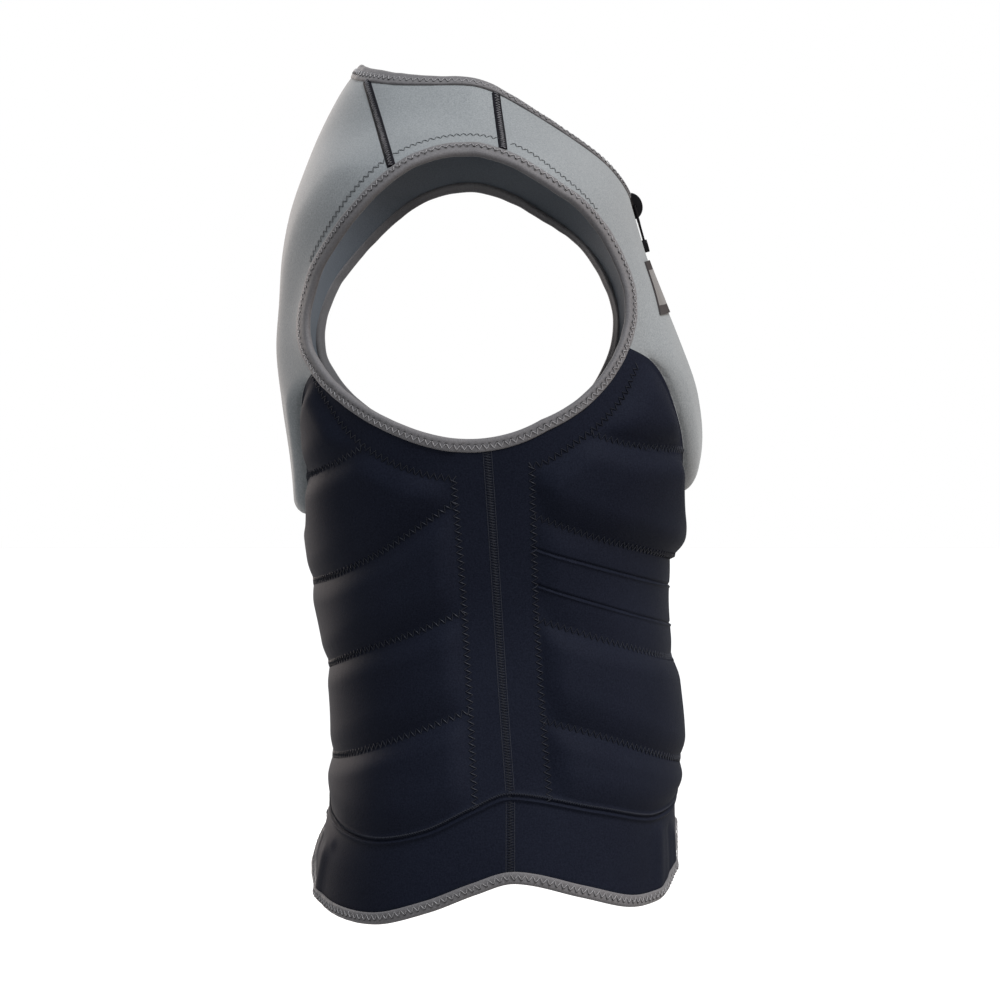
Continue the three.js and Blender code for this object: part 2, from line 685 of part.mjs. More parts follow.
const backHem = hemEdge(backWaist);
const frontHem = hemEdge(frontWaist);
const rightHem = [...frontHem, ...backHem.slice().reverse().slice(1)];
const wholeHem = wholeRound(rightHem);
const wholeBand = aside(wholeHem, -HEM_BINDING).map(({ angle, z }, i) => {
  const near = THREE.MathUtils.euclideanModulo(angle - wholeHem[i].angle + 180, 360) - 180;
  return spot(wholeHem[i].angle + near, z);
});
const bandFront = wholeBand.slice(0, frontHem.length);
const bandBack = wholeBand.slice(frontHem.length - 1, rightHem.length).reverse();
addPiece('band_back', thicken(bothHalves(ruled(bandBack, backWaist, ROWS.band)), flat, lining), BLACK);
const bandGrid = ruled(bandFront, frontWaist, ROWS.band);
addPiece('band_front_right', thicken(bandGrid, flat, lining), BLACK);
addPiece('band_front_left', thicken(mirrorGrid(bandGrid), flat, lining), BLACK);

// Edge binding: a strip folded over the cloth's edge, rounded on its free side.
const bindingOut = ({ column }) => [BINDING_PROUD, BINDING_PROUD, -CLOTH / 8][column];
const bindingIn = (place) => -CLOTH - bindingOut(place);

function acrossBinding(seam, edge) {
  return seam.map((at, i) => line(2, (t) => between(at, edge[i], t)));
}

const rightNeck = [
  ...neckFront,
  ...neckTop.slice().reverse().slice(1),
  ...neckBack.slice().reverse().slice(1),
];
const neckEdge = wholeRound(rightNeck.map(({ angle }) => spot(angle, neckHeight(angle))));
const neckStrip = acrossBinding(wholeRound(rightNeck), neckEdge);
addPiece('neck_binding', thicken(neckStrip, bindingOut, bindingIn), TRIM);
addPiece('hem_binding', thicken(acrossBinding(wholeBand, wholeHem), bindingOut, bindingIn), TRIM);

function armRing(across) {
  const stops = [
    [ARM_FRONT_LINE, COLUMNS.strip], [ARM_FRONT_GREY, COLUMNS.armhole], [ARM_FRONT_TAPE, ROWS.greyArm],
    [ARM_BACK_TAPE, ROWS.yoke], [ARM_BACK_GREY, ROWS.greyArm], [ARM_BACK_LINE, COLUMNS.armhole],
    [360 + ARM_SIDE, COLUMNS.strip],
  ];
  let from = ARM_SIDE;
  const ring = [];
  for (const [to, count] of stops) {
    ring.push(...armLine(from, to, count, across).slice(0, -1));
    from = to;
  }
  return ring;
}

const armBinding = acrossBinding(armRing(0), armRing(1));
addPiece('arm_binding_right', thicken(armBinding, bindingOut, bindingIn, true), TRIM);
addPiece('arm_binding_left', thicken(mirrorGrid(armBinding), bindingOut, bindingIn, true), TRIM);

// Tapes over the shoulder seams, from the armhole binding to the neck binding.
function tapeGrid(seam) {
  const first = seam[0];
  const last = seam[seam.length - 1];
  const trim = TAPE.endGap / pointAt(first).distanceTo(pointAt(last));
  const shares = seam.map((_, i) => THREE.MathUtils.clamp(i / ROWS.tape, trim, 1 - trim));
  const middle = shares.map((share) => between(first, last, share));
  const edges = [aside(middle, -TAPE.half), aside(middle, TAPE.half)];
  return middle.map((at, i) => [edges[0][i], at, edges[1][i]]);
}

const tapeTop = () => TAPE.gap + TAPE.thick;
const tapeUnder = () => TAPE.gap;
for (const [place, seam] of [['front', tapeFront], ['back', tapeBack]]) {
  const grid = tapeGrid(seam);
  addPiece(`shoulder_tape_${place}_right`, thicken(grid, tapeTop, tapeUnder), BLACK);
  addPiece(`shoulder_tape_${place}_left`, thicken(mirrorGrid(grid), tapeTop, tapeUnder), BLACK);
}

// Bare patch on the right chest.
const patchGrid = line(PATCH_CELLS.rows, (up) => line(PATCH_CELLS.columns, (out) => {
  const x = THREE.MathUtils.lerp(PATCH.inner, PATCH.outer, out) + PATCH.lean * (1 - up);
  return fromMiddle(x, THREE.MathUtils.lerp(PATCH.low, PATCH.high, up) - PATCH.fall * out, 1);
}));
const patchUnder = (place) => chestPad(place) + PATCH.gap;
const patchTop = (place) => patchUnder(place) + PATCH.thick;
addPiece('chest_patch', thicken(patchGrid, patchTop, patchUnder), BLACK);

// Zip: two tapes sewn behind the front edges, and the closed chain between them.
function zipGrid(across, low, high) {
  const edge = [...frontLower, ...chest].map((row) => row[0].z).sort((a, b) => a - b);
  const heights = edge.filter((z, i) => z > low + 1 && z < high - 1 && z - edge[i - 1] > 0.1);
  const place = (x, z) => (x < 0 ? mirror(zipSpot(z, -x)) : zipSpot(z, x));
  return [low, ...heights, high].map((z) => across.map((x) => place(x, z)));
}

const zipLow = bandFront[0].z + ZIP_TAPE.endGap;
const zipTape = zipGrid([ZIP_TAPE.inner, ZIP_TAPE.outer], zipLow, zipTop.z - ZIP_TAPE.endGap);
const tapeFace = () => -ZIP_TAPE.sunk;
const tapeRear = () => -ZIP_TAPE.sunk - ZIP_TAPE.thick;
addPiece('zip_tape_right', thicken(zipTape, tapeFace, tapeRear), ZIP);
addPiece('zip_tape_left', thicken(mirrorGrid(zipTape), tapeFace, tapeRear), ZIP);
const chainFace = () => -ZIP_CHAIN.sunk;
const chainRear = () => -ZIP_CHAIN.sunk - ZIP_CHAIN.thick;
const chain = zipGrid([-ZIP_CHAIN.half, ZIP_CHAIN.half], zipLow, ZIP_CHAIN.top);
addPiece('zip_chain', thicken(chain, chainFace, chainRear), ZIP);

// Slider and pull stand on the cloth in a frame of their own: -Y out of the cloth, +Z up along it.
const head = new THREE.Group();
const seat = spot(0, SLIDER.z);
head.position.copy(pointAt(seat));
head.rotation.x = -Math.asin(normalAt(seat).z);
vest.add(head);

function solid(geometry) {
  geometry.deleteAttribute('normal');
  geometry.deleteAttribute('uv');
  const merged = mergeVertices(geometry);
  return new wasm.Manifold(new wasm.Mesh({
    numProp: 3,
    vertProperties: merged.attributes.position.array,
    triVerts: new Uint32Array(merged.index.array),
  }));
}

function joined(solids) {
  const mesh = solids.reduce((sum, next) => sum.add(next)).getMesh();
  const geometry = new THREE.BufferGeometry();
  geometry.setAttribute('position', new THREE.BufferAttribute(mesh.vertProperties, 3));
  geometry.setIndex(new THREE.BufferAttribute(mesh.triVerts, 1));
  geometry.computeVertexNormals();
  return geometry;
}

// Plate with an outline seen from the front, between two distances out of the cloth.
function plate(outline, from, to) {
  const extent = { depth: to - from, bevelEnabled: false, curveSegments: 8 };
  const geometry = new THREE.ExtrudeGeometry(outline, extent);
  return solid(geometry.translate(0, 0, from).rotateX(Math.PI / 2));
}

function rectangle(left, right, low, high) {
  const corners = [[left, low], [right, low], [right, high], [left, high]];
  return new THREE.Shape(corners.map(([x, y]) => new THREE.Vector2(x, y)));
}

function oval(half, low, high) {
  return new THREE.Shape().absellipse(0, (low + high) / 2, half, (high - low) / 2, 0, 2 * Math.PI);
}

// Round bars on the pull's pin, one on each side, between two distances from the middle.
function pins(radius, from, to) {
  return [-1, 1].map((side) => {
    const geometry = new THREE.CylinderGeometry(radius, radius, to - from, 10).rotateZ(Math.PI / 2);
    return solid(geometry.translate((side * (from + to)) / 2, -PULL.pinOut, PULL.pinUp));
  });
}

// Rounded hood that holds the pull, drawn from the side, with a socket in each flank.
function hood() {
  const { half, reach, top } = HOOD;
  const foot = SLIDER.face - SLIDER.plate / 2;
  const outline = new THREE.Shape().absellipse(0, foot, reach, top - foot, 0, Math.PI);
  const extent = { depth: 2 * half, bevelEnabled: false, curveSegments: 10 };
  const geometry = new THREE.ExtrudeGeometry(outline, extent);
  const up = new THREE.Vector3(0, 0, 1);
  const out = new THREE.Vector3(0, -1, 0);
  const across = new THREE.Vector3(1, 0, 0);
  const upright = new THREE.Matrix4().makeBasis(up, out, across);
  const body = solid(geometry.translate(0, 0, -half).applyMatrix4(upright));
  const sockets = pins(SOCKET.radius, half - SOCKET.depth, half + SOCKET.depth);
  return sockets.reduce((rest, socket) => rest.subtract(socket), body);
}

function slider() {
  const post = rectangle(-SLIDER_POST.half, SLIDER_POST.half, SLIDER_POST.low, SLIDER_POST.high);
  const rear = oval(SLIDER_BACK.half, -SLIDER_BACK.reach, SLIDER_BACK.reach);
  return joined([
    plate(oval(SLIDER.half, -SLIDER.reach, SLIDER.reach), SLIDER.face - SLIDER.plate, SLIDER.face),
    plate(rear, SLIDER_BACK.face - SLIDER_BACK.plate, SLIDER_BACK.face),
    plate(post, SLIDER_BACK.face - SLIDER_BACK.plate / 2, SLIDER.face - SLIDER.plate / 2),
    hood(),
  ]);
}

// Pull: a fork round the hood with a stud in each socket, a slim tab and a thicker grip.
function pull() {
  const { pinUp, pinOut, end, thick, armIn, armOut, fork, tabHalf, tabEnd } = PULL;
  const corners = [
    [-armOut, end], [-armOut, -fork], [-tabHalf, -fork - armOut], [-tabHalf, -tabEnd],
    [tabHalf, -tabEnd], [tabHalf, -fork - armOut], [armOut, -fork], [armOut, end],
    [armIn, end], [armIn, -fork], [-armIn, -fork], [-armIn, end],
  ];
  const outline = new THREE.Shape(corners.map(([x, y]) => new THREE.Vector2(x, y + pinUp)));
  const grip = oval(GRIP.half, pinUp - GRIP.end, pinUp - GRIP.start);
  return joined([
    plate(outline, pinOut - thick / 2, pinOut + thick / 2),
    plate(grip, pinOut - GRIP.thick / 2, pinOut + GRIP.thick / 2),
    ...pins(STUD.radius, HOOD.half - STUD.depth, armOut - end),
  ]);
}

addPiece('zip_slider', slider(), ZIP, head);
addPiece('zip_pull', pull(), ZIP, head);

export default vest;
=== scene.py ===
"""Impact vest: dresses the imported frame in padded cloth. Sizes are in millimetres until a mesh is made."""
import math
import bpy
import numpy as np
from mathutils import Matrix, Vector
from mathutils.kdtree import KDTree


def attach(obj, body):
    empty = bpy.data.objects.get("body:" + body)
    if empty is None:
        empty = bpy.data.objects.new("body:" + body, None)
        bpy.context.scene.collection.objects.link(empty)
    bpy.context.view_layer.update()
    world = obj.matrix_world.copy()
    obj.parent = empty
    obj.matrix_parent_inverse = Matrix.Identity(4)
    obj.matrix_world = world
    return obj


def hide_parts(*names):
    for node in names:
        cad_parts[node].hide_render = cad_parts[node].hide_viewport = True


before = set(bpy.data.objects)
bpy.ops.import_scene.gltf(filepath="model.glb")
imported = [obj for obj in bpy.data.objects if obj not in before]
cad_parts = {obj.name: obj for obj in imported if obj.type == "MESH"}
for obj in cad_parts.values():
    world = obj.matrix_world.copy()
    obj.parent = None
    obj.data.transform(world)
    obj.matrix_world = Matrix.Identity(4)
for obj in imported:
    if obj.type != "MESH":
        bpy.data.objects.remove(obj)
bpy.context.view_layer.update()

MM = 0.001
scene = bpy.context.scene

# Cloth and padding
CLOTH = 4.0
# Widths of the black pads' soft edges beside channels, seams and the grey panels
QUILT_ROLL = {"over": 14.0, "over_side": 24.0, "under": 15.0, "side": 16.0,
              "back_edge": 11.0, "front_edge": 24.0}
EDGING = 4.6  # flat margin between a black pad and the grey panel
CHANNEL_FLOOR = 1.6  # half of the flat floor that a row of stitches presses into the pads
CHANNEL_SHALLOW = 0.4  # share of the pads' height that a channel keeps at the mid-plane
SAG = 0.12  # pads hang over the channel below them by this share of their height
BACK_PAD = {"height": 8.5, "roll": 11.0, "flat_z": 10.0, "full_z": -110.0}
CHEST_PAD = {"height": 8.0, "roll": 17.0, "flat_z": -95.0, "full_z": -200.0}
PAD_FADE = 45.0  # grey pads rise over this distance from the armhole and the shoulder seams
WAVES = {"count": 7, "shortest": 0.7, "longest": 1.6}  # sine waves in each ripple, and their lengths
UNEVEN = {"rise": 0.55, "size": 75.0, "seed": 11}  # soft waves over all the cloth
MIDDLE_ROUND = 8.0  # distance from the mid-plane within which the waves level out
SEAM_DIP = 0.3  # panels turn down at their sewn edges
# Gathers at a channel: share of the pad's height, pace along the channel, and reach
PUCKER = {"share": 0.015, "pace": 0.75, "fade": 9.0}
PUCKER_DRIFT = {"rise": 2.0, "size": 31, "seed": 5}

# Trim
HEM_BINDING = 7.5
BINDING_PROUD = 1.1  # height of a binding over the cloth
TAPE = {"half": 3.0, "thick": 0.9, "end_gap": 0.6, "columns": 7, "roll": 0.5, "lift": 0.15, "sunk": 0.3,
        "thread_gap": 1.0, "thread_lift": 0.1}
PATCH = {"inner": 33.0, "outer": 75.0, "low": -142.0, "high": -104.0, "lean": 22.0, "fall": 4.0,
         "gap": 0.25, "thick": 0.9}
ZIP_EDGE = 9.0  # from the mid-plane to the edge of a front panel
ZIP_TAPE = {"inner": 0.5, "outer": 16.0, "sunk": 4.5, "thick": 1.0, "end_gap": 3.0, "rows": 160, "columns": 9}
TOOTH = {"pitch": 3.1, "height": 1.7, "face": -2.4, "depth": 2.2, "top": -76.0}
# Outline of a tooth: distance from the mid-plane on its own side, and share of half its height
TOOTH_OUTLINE = np.array([[4.4, -0.8], [0.6, -0.8], [-0.6, -1], [-1.2, -0.5],
                          [-1.2, 0.5], [-0.6, 1], [0.6, 0.8], [4.4, 0.8]])

# Level sections of the trunk, seams and edges, as in the solids
def table(names, rows):
    return dict(zip(names.split(), np.array(rows, float).T))


SECTIONS = table("z front back middle half front_power back_power", [
    [-570, -131, 123, 0, 164, 2.4, 2.4],
    [-515, -130, 122, 0, 162, 2.4, 2.4],
    [-475, -129, 110, 0, 159, 2.4, 2.4],
    [-430, -130, 107, 0, 154, 2.4, 2.4],
    [-380, -126, 111, 0, 151, 2.4, 2.4],
    [-330, -122, 120, 0, 152, 2.4, 2.4],
    [-280, -130, 127, 0, 160, 2.5, 2.5],
    [-235, -139, 131.5, 0, 168, 2.6, 2.6],
    [-200, -136.5, 136, 0, 171, 2.6, 2.6],
    [-165, -128.5, 140, 0, 171, 2.6, 2.6],
    [-130, -118.5, 138, 0, 171, 2.5, 2.5],
    [-100, -109.5, 136, 3, 169, 2.3, 2.4],
    [-70, -100.5, 133, 6, 163, 2.1, 2.3],
    [-45, -93, 127.5, 9, 149, 1.8, 2.2],
    [-15, -80, 118, 12, 108, 1.65, 2.1],
    [15, -62, 104, 14, 80, 1.6, 2.1],
    [40, -44, 87, 14, 56, 1.6, 2.1],
])
# Heights of the black pads from the top down, at the mid-plane and at the side
PAD_HEIGHTS = table("back back_side front front_side", [
    [3.5, 6.5, 9.5, 8],
    [4.5, 6.5, 2.2, 3],
    [4, 6.5, 5.8, 6.5],
    [4.5, 6.5, 5.2, 6],
])
NECK = table("angle z", [
    [0, -54], [14, -51], [23, -44.5], [32, -34], [42, -23.5], [53, -11.5], [63, -1], [76, 10.5], [88, 16.5],
    [110, 19], [127, 22], [147, 27.5], [180, 35.5], [213, 27.5],
])
NECK_BINDING = table("angle width", [[0, 6], [80, 5.8], [105, 6.6], [130, 8.4], [180, 9.2]])
WAIST = table("angle z", [
    [0, -470], [15, -473], [33, -480], [46, -482], [64, -474], [85, -464], [93, -472], [105, -488],
    [118, -495], [132, -492], [146, -485], [165, -476], [180, -472], [195, -476],
])
HEM = table("angle z", [
    [0, -489], [8, -504], [16, -519], [28, -529.5], [38, -537.5], [48, -540.5], [56, -539], [68, -531],
    [84, -521], [93, -528], [104, -540], [118, -550], [134, -548.5], [148, -542], [157, -536], [167, -523],
    [173, -507], [180, -491], [187, -507],
])
ARM_CENTRE = {"y": 12.0, "z": -137.0}
ARMHOLE = table("turn seam binding", [
    [-60, 100, 7.5], [-25, 107.5, 6], [0, 109.5, 4.8], [30, 102.5, 4.8], [55, 97.5, 5.2], [72, 100, 6],
    [90, 104, 6.5], [110, 103.5, 6.2], [132, 100.5, 6], [150, 102.5, 6], [172, 112, 6], [192, 119.5, 6],
    [206, 116, 6.5], [222, 108.5, 7], [242, 102.5, 7.6], [270, 101, 8], [300, 100, 7.5],
])
ARM = {"side": -84, "front_line": -67, "front_grey": -17, "front_tape": 78, "back_tape": 121,
       "back_grey": 204, "back_line": 262.5}
NECK_FRONT_TAPE = 78
NECK_BACK_TAPE = 146
WAIST_FRONT_LINE = 75.5
WAIST_SIDE = 85
WAIST_BACK_LINE = 93.3
BACK_TONGUE = table("x z", [
    [95, -193], [80, -206], [72, -225], [66, -250], [58, -270], [40, -278], [0, -280],
])
CHEST_EDGE = table("x z", [
    [124, -175], [112, -184], [103, -197], [94, -212], [82, -229], [68, -246], [50, -258], [30, -263],
    [9, -264],
])
TONGUE_CORNER = 0.62
CHEST_CORNER = 0.66
BACK_TOP_LINE = table("y z", [
    [22, -256], [45, -252], [72, -241], [94, -224], [110, -202], [119, -186],
])
BACK_CHANNELS = [
    table("y z", [[23, -271], [46, -287], [72, -304], [100, -318], [126, -327]]),
    table("y z", [[17, -343], [49, -357], [84, -370], [116, -385]]),
    table("y z", [[13, -408], [49, -423], [84, -437], [110, -446]]),
]
BACK_SPLIT = table("y z", [[84, -235], [105, -246], [131, -256]])
FRONT_TOP_LINE = table("y z", [
    [-98, -180], [-90, -198], [-75, -217], [-59, -230], [-36, -245], [-26, -247],
])
FRONT_CHANNELS = [
    table("y z", [[-130, -309], [-73, -295], [-29, -280]]),
    table("y z", [[-128, -379], [-65, -359], [-31, -348]]),
    table("y z", [[-133, -449], [-77, -427], [-37, -415]]),
]
FRONT_SPLIT = table("y z", [[-134, -236], [-93, -233], [-67, -226]])
FRONT_CREASES = [
    table("y z", [[-123, -328.6], [-30, -302]]),
    table("y z", [[-125, -356], [-31, -326]]),
]

# Cells of the fine grids, along the same edges as the solids
CELLS = {"tongue": 40, "chest": 56, "grey_side": 40, "grey_arm": 80, "shoulder": 30, "yoke": 40,
         "armhole": 40, "strip": 10, "band": 44}
BACK_ROWS = [44, 30, 30, 30]
FRONT_ROWS = [44, 120, 40, 34]
LINE_STEPS = 120
SEAM_SPACING = 1.0
HALVINGS = 22  # steps of the search for a channel's place on a column
NUDGE = 0.5  # step in degrees and in height that gives the cloth's slope
TINY = 1e-9


def spline(rows, key, name):
    """Smooth curve through a table: one column as a function of another."""
    at, value = rows[key], rows[name]
    low = np.maximum(np.arange(len(at)) - 1, 0)
    high = np.minimum(np.arange(len(at)) + 1, len(at) - 1)
    slope = (value[high] - value[low]) / (at[high] - at[low])

    def curve(x):
        i = np.clip(np.searchsorted(at, x) - 1, 0, len(at) - 2)
        step = at[i + 1] - at[i]
        t = np.clip((x - at[i]) / step, 0, 1)
        lead = slope[i] * t * (1 - t) ** 2 - slope[i + 1] * t * t * (1 - t)
        return value[i] + (value[i + 1] - value[i]) * t * t * (3 - 2 * t) + lead * step

    return curve


section = {name: spline(SECTIONS, "z", name) for name in SECTIONS if name != "z"}
neck_height = spline(NECK, "angle", "z")
waist_height = spline(WAIST, "angle", "z")
hem_height = spline(HEM, "angle", "z")
neck_binding = spline(NECK_BINDING, "angle", "width")
arm_seam = spline(ARMHOLE, "turn", "seam")
arm_binding = spline(ARMHOLE, "turn", "binding")


# The cloth's outer face. A spot is an angle round the trunk (0 front, 90 the wearer's right) and a height.
def spots(angle, z):
    return np.stack(np.broadcast_arrays(np.asarray(angle, float), np.asarray(z, float)), -1)


def bulge(cosine, z):
    middle = section["middle"](z)
    ahead = cosine > 0
    depth = np.where(ahead, middle - section["front"](z), section["back"](z) - middle)
    return depth, np.where(ahead, section["front_power"](z), section["back_power"](z))


def point_at(at):
    turn, z = np.radians(at[..., 0]), at[..., 1]
    cosine, sine = np.cos(turn), np.sin(turn)
    depth, power = bulge(cosine, z)
    total = np.abs(cosine / depth) ** power + np.abs(sine / section["half"](z)) ** power
    radius = total ** (-1 / power)
    return np.stack([-radius * sine, section["middle"](z) - radius * cosine, z], -1)


def unit(vectors):
    return vectors / np.maximum(np.linalg.norm(vectors, axis=-1, keepdims=True), TINY)


def normal_at(at):
    turn, lift = NUDGE * np.eye(2)
    around = point_at(at + turn) - point_at(at - turn)
    up = point_at(at + lift) - point_at(at - lift)
    return unit(np.cross(up, around))


def spot_of(points):
    reach = points[..., 1] - section["middle"](points[..., 2])
    return spots(np.degrees(np.arctan2(-points[..., 0], -reach)), points[..., 2])


def from_side(y, z):
    reach = y - section["middle"](z)
    depth, power = bulge(-reach, z)
    share = np.minimum(np.abs(reach) / depth, 1)
    x = section["half"](z) * (1 - share ** power) ** (1 / power)
    return spots(np.degrees(np.arctan2(x, -reach)), z)


def from_middle(x, z, facing):
    depth, power = bulge(np.full(np.shape(z), facing), z)
    share = np.minimum(x / section["half"](z), 1)
    return spots(np.degrees(np.arctan2(x, facing * depth * (1 - share ** power) ** (1 / power))), z)


def mirror(at):
    return at * np.array([-1.0, 1.0])


def between(a, b, t):
    return a + (b - a) * np.asarray(t)[..., None]


def arm_line(start, stop, count, across=0.0, outside=0.0):
    """Line round the armhole: on its seam, part of the way across the binding, or outside the seam."""
    turn = np.linspace(start, stop, count + 1)
    first = ARMHOLE["turn"][0]
    place = (turn - first) % 360 + first
    radius = arm_seam(place) - across * arm_binding(place) + outside
    angle = np.radians(turn)
    return from_side(ARM_CENTRE["y"] - radius * np.cos(angle), ARM_CENTRE["z"] + radius * np.sin(angle))


def neck_line(start, stop, count):
    angle = np.linspace(start, stop, count + 1)
    return spots(angle, neck_height(angle) - neck_binding(angle))


def straight_line(start, stop, count):
    """Line between two spots that is straight when seen from the side."""
    ends = point_at(np.stack([start, stop]))
    points = between(ends[0], ends[1], np.linspace(0, 1, count + 1))
    return from_side(points[:, 1], points[:, 2])


def waist_line(start, stop, count):
    angle = np.linspace(start, stop, count + 1)
    return spots(angle, waist_height(angle))


def zip_spot(z, x=ZIP_EDGE):
    return from_middle(x, np.asarray(z, float), 1)


def grey_edge(rows, start, facing, corner, cells):
    """Lower edge of a grey panel: from the armhole to its corner, and from there to the mid-plane."""
    first = point_at(start)
    marks = {"i": np.arange(len(rows["x"]) + 1.0), "x": np.append(-first[0], rows["x"]),
             "z": np.append(first[2], rows["z"])}
    shares = np.linspace(0, corner, CELLS["grey_side"] + 1), np.linspace(corner, 1, cells + 1)
    steps = [share * len(rows["x"]) for share in shares]
    return [from_middle(spline(marks, "i", "x")(t), spline(marks, "i", "z")(t), facing) for t in steps]


def side_line(rows):
    y = np.linspace(rows["y"][0], rows["y"][-1], LINE_STEPS + 1)
    return from_side(y, spline(rows, "y", "z")(y))


def joined(*lines):
    """One line from several that meet end to end."""
    return np.concatenate([lines[0], *(line[1:] for line in lines[1:])])


def run_along(points):
    """Length of a polyline up to each of its points."""
    return np.append(0, np.cumsum(np.linalg.norm(np.diff(points, axis=0), axis=1)))


def resampled(points, spacing=SEAM_SPACING):
    """Points along a polyline at an even spacing, and the run at each."""
    run = run_along(points)
    at = np.linspace(0, run[-1], max(int(run[-1] / spacing), 2) + 1)
    return np.stack([np.interp(at, run, points[:, k]) for k in range(points.shape[1])], -1), at


def ripple(points, rise, size, seed):
    """Smooth irregular waves up to about the rise, each some `size` long."""
    rng = np.random.default_rng(seed)
    count = WAVES["count"]
    ways = unit(rng.normal(size=(count, points.shape[-1])))
    ways *= (2 * math.pi / (size * rng.uniform(WAVES["shortest"], WAVES["longest"], count)))[:, None]
    waves = np.sin(points @ ways.T + rng.uniform(0, 2 * math.pi, count))
    return rise * (waves.sum(-1) / math.sqrt(count))


def smoothstep(x, low, high):
    t = np.clip((x - low) / (high - low), 0, 1)
    return t * t * (3 - 2 * t)


def dome(distance, roll):
    """Rounded edge of a pad: 0 on the seam, 1 from the roll width inwards."""
    rest = 1 - np.clip(distance / roll, 0, 1)
    return np.sqrt(1 - rest * rest)


def swell(distance, roll):
    """Soft edge of a quilted pad: it slopes up from the seam, and is full from the roll width inwards."""
    return np.sin(math.pi / 2 * np.clip(distance / roll, 0, 1))


class Seam:
    """A sewn line on the right-hand side, with distances to it."""

    def __init__(self, line):
        self.points, self.run = resampled(point_at(line))
        self.tree = KDTree(len(self.points))
        for i, point in enumerate(self.points):
            self.tree.insert(point, i)
        self.tree.balance()

    def measure(self, points):
        """Distance, height above the seam and run along it, for each point or its mirror image."""
        right = points.reshape(-1, 3).copy()
        right[:, 0] = -np.abs(right[:, 0])
        found = [self.tree.find(point) for point in right]
        index = np.array([f[1] for f in found])
        distance = np.array([f[2] for f in found]).reshape(points.shape[:-1])
        above = (right[:, 2] - self.points[index, 2]).reshape(points.shape[:-1])
        return distance, above, self.run[index].reshape(points.shape[:-1])


# Seams of the right half
arm_back = arm_line(ARM["back_grey"], ARM["back_tape"], CELLS["grey_arm"])
arm_front = arm_line(ARM["front_grey"], ARM["front_tape"], CELLS["grey_arm"])
back_side, back_bottom = grey_edge(BACK_TONGUE, arm_back[0], -1, TONGUE_CORNER, CELLS["tongue"])
chest_side, chest_bottom = grey_edge(CHEST_EDGE, arm_front[0], 1, CHEST_CORNER, CELLS["chest"])
arm_top = arm_line(ARM["back_tape"], ARM["front_tape"], CELLS["yoke"])
neck_back = neck_line(180, NECK_BACK_TAPE, CELLS["tongue"])
neck_top = neck_line(NECK_BACK_TAPE, NECK_FRONT_TAPE, CELLS["yoke"])
zip_top = zip_spot(neck_height(0) - neck_binding(0))
neck_front = neck_line(zip_top[0], NECK_FRONT_TAPE, CELLS["chest"])
tape_back = straight_line(arm_back[-1], neck_back[-1], CELLS["shoulder"])
tape_front = straight_line(arm_front[-1], neck_front[-1], CELLS["shoulder"])
zip_line = zip_spot(np.linspace(waist_height(0), neck_height(0), LINE_STEPS))


def fill(left, right, bottom, top):
    """Grid of spots inside four edges: rows are straight, and bend only close to the bottom and the top."""
    up = np.linspace(0, 1, len(left))[:, None, None]
    over = np.linspace(0, 1, len(bottom))[:, None]
    across = left[:, None] * (1 - over) + right[:, None] * over

    def bend(edge):
        return edge - (edge[0] * (1 - over) + edge[-1] * over)

    return across + bend(bottom) * (1 - up) ** 3 + bend(top) * up ** 3


def both_halves(grid):
    """A grid that starts at the mid-plane of the back, with its mirror image before it."""
    return np.concatenate([mirror(grid[:, :0:-1]), grid], axis=1)


def whole_round(right):
    """A line from the front to the back, carried on round the other half to the front again."""
    left = mirror(right[-2::-1]) + np.array([360.0, 0.0])
    return np.concatenate([right, left])


def upper_grid(side, bottom, neck, middle):
    """Grid of a grey panel, whose edge in the middle runs up in step with its side."""
    low, high = bottom[-1, 1], neck[0, 1]
    run = run_along(point_at(side))
    return fill(middle(low + (high - low) * run / run[-1]), side, bottom[::-1], neck)


def band_steps(count):
    """Rows between two channels, closer together near both."""
    t = np.linspace(0, 1, count + 1)[1:]
    return (t + (1 - np.cos(math.pi * t)) / 2) / 2


def quilt_grid(top, waist, channels, rows, strip):
    """Grid whose columns run down to the waist and whose rows follow the channels, and the channels' rows."""
    pads = len(top) - strip
    marks = [np.zeros(pads)]
    for channel in channels:
        height = spline(channel, "y", "z")
        low, high = marks[-1].copy(), np.ones(pads)
        for _ in range(HALVINGS):
            t = (low + high) / 2
            point = point_at(between(top[:pads], waist[:pads], t))
            over = point[:, 2] > height(point[:, 1])
            low, high = np.where(over, t, low), np.where(over, high, t)
        marks.append(low)
    marks.append(np.ones(pads))
    shares = [np.zeros(pads)]
    for k, count in enumerate(rows):
        shares += [marks[k] + (marks[k + 1] - marks[k]) * s for s in band_steps(count)]
    grid = np.stack([between(top[:pads], waist[:pads], share) for share in shares])
    seam = between(top[-1], waist[-1], np.linspace(0, 1, len(grid)))
    across = np.linspace(0, 1, strip + 1)[1:]
    edge = np.stack([between(grid[:, -1], seam, np.full(len(grid), s)) for s in across], axis=1)
    return np.concatenate([grid, edge], axis=1), np.cumsum(rows)[:-1]


# Raised forms of the panels, each a height above the cloth's outer face
def grey_pad(pad, edges, soft_edges):
    hard, soft = [Seam(line) for line in edges], [Seam(line) for line in soft_edges]

    def height(points):
        full = smoothstep(-points[..., 2], -pad["flat_z"], -pad["full_z"])
        fade = smoothstep(np.min([s.measure(points)[0] for s in soft], axis=0), 0, PAD_FADE)
        near = np.min([s.measure(points)[0] for s in hard], axis=0)
        return pad["height"] * full * fade * dome(near - CHANNEL_FLOOR / 2, pad["roll"])

    return height


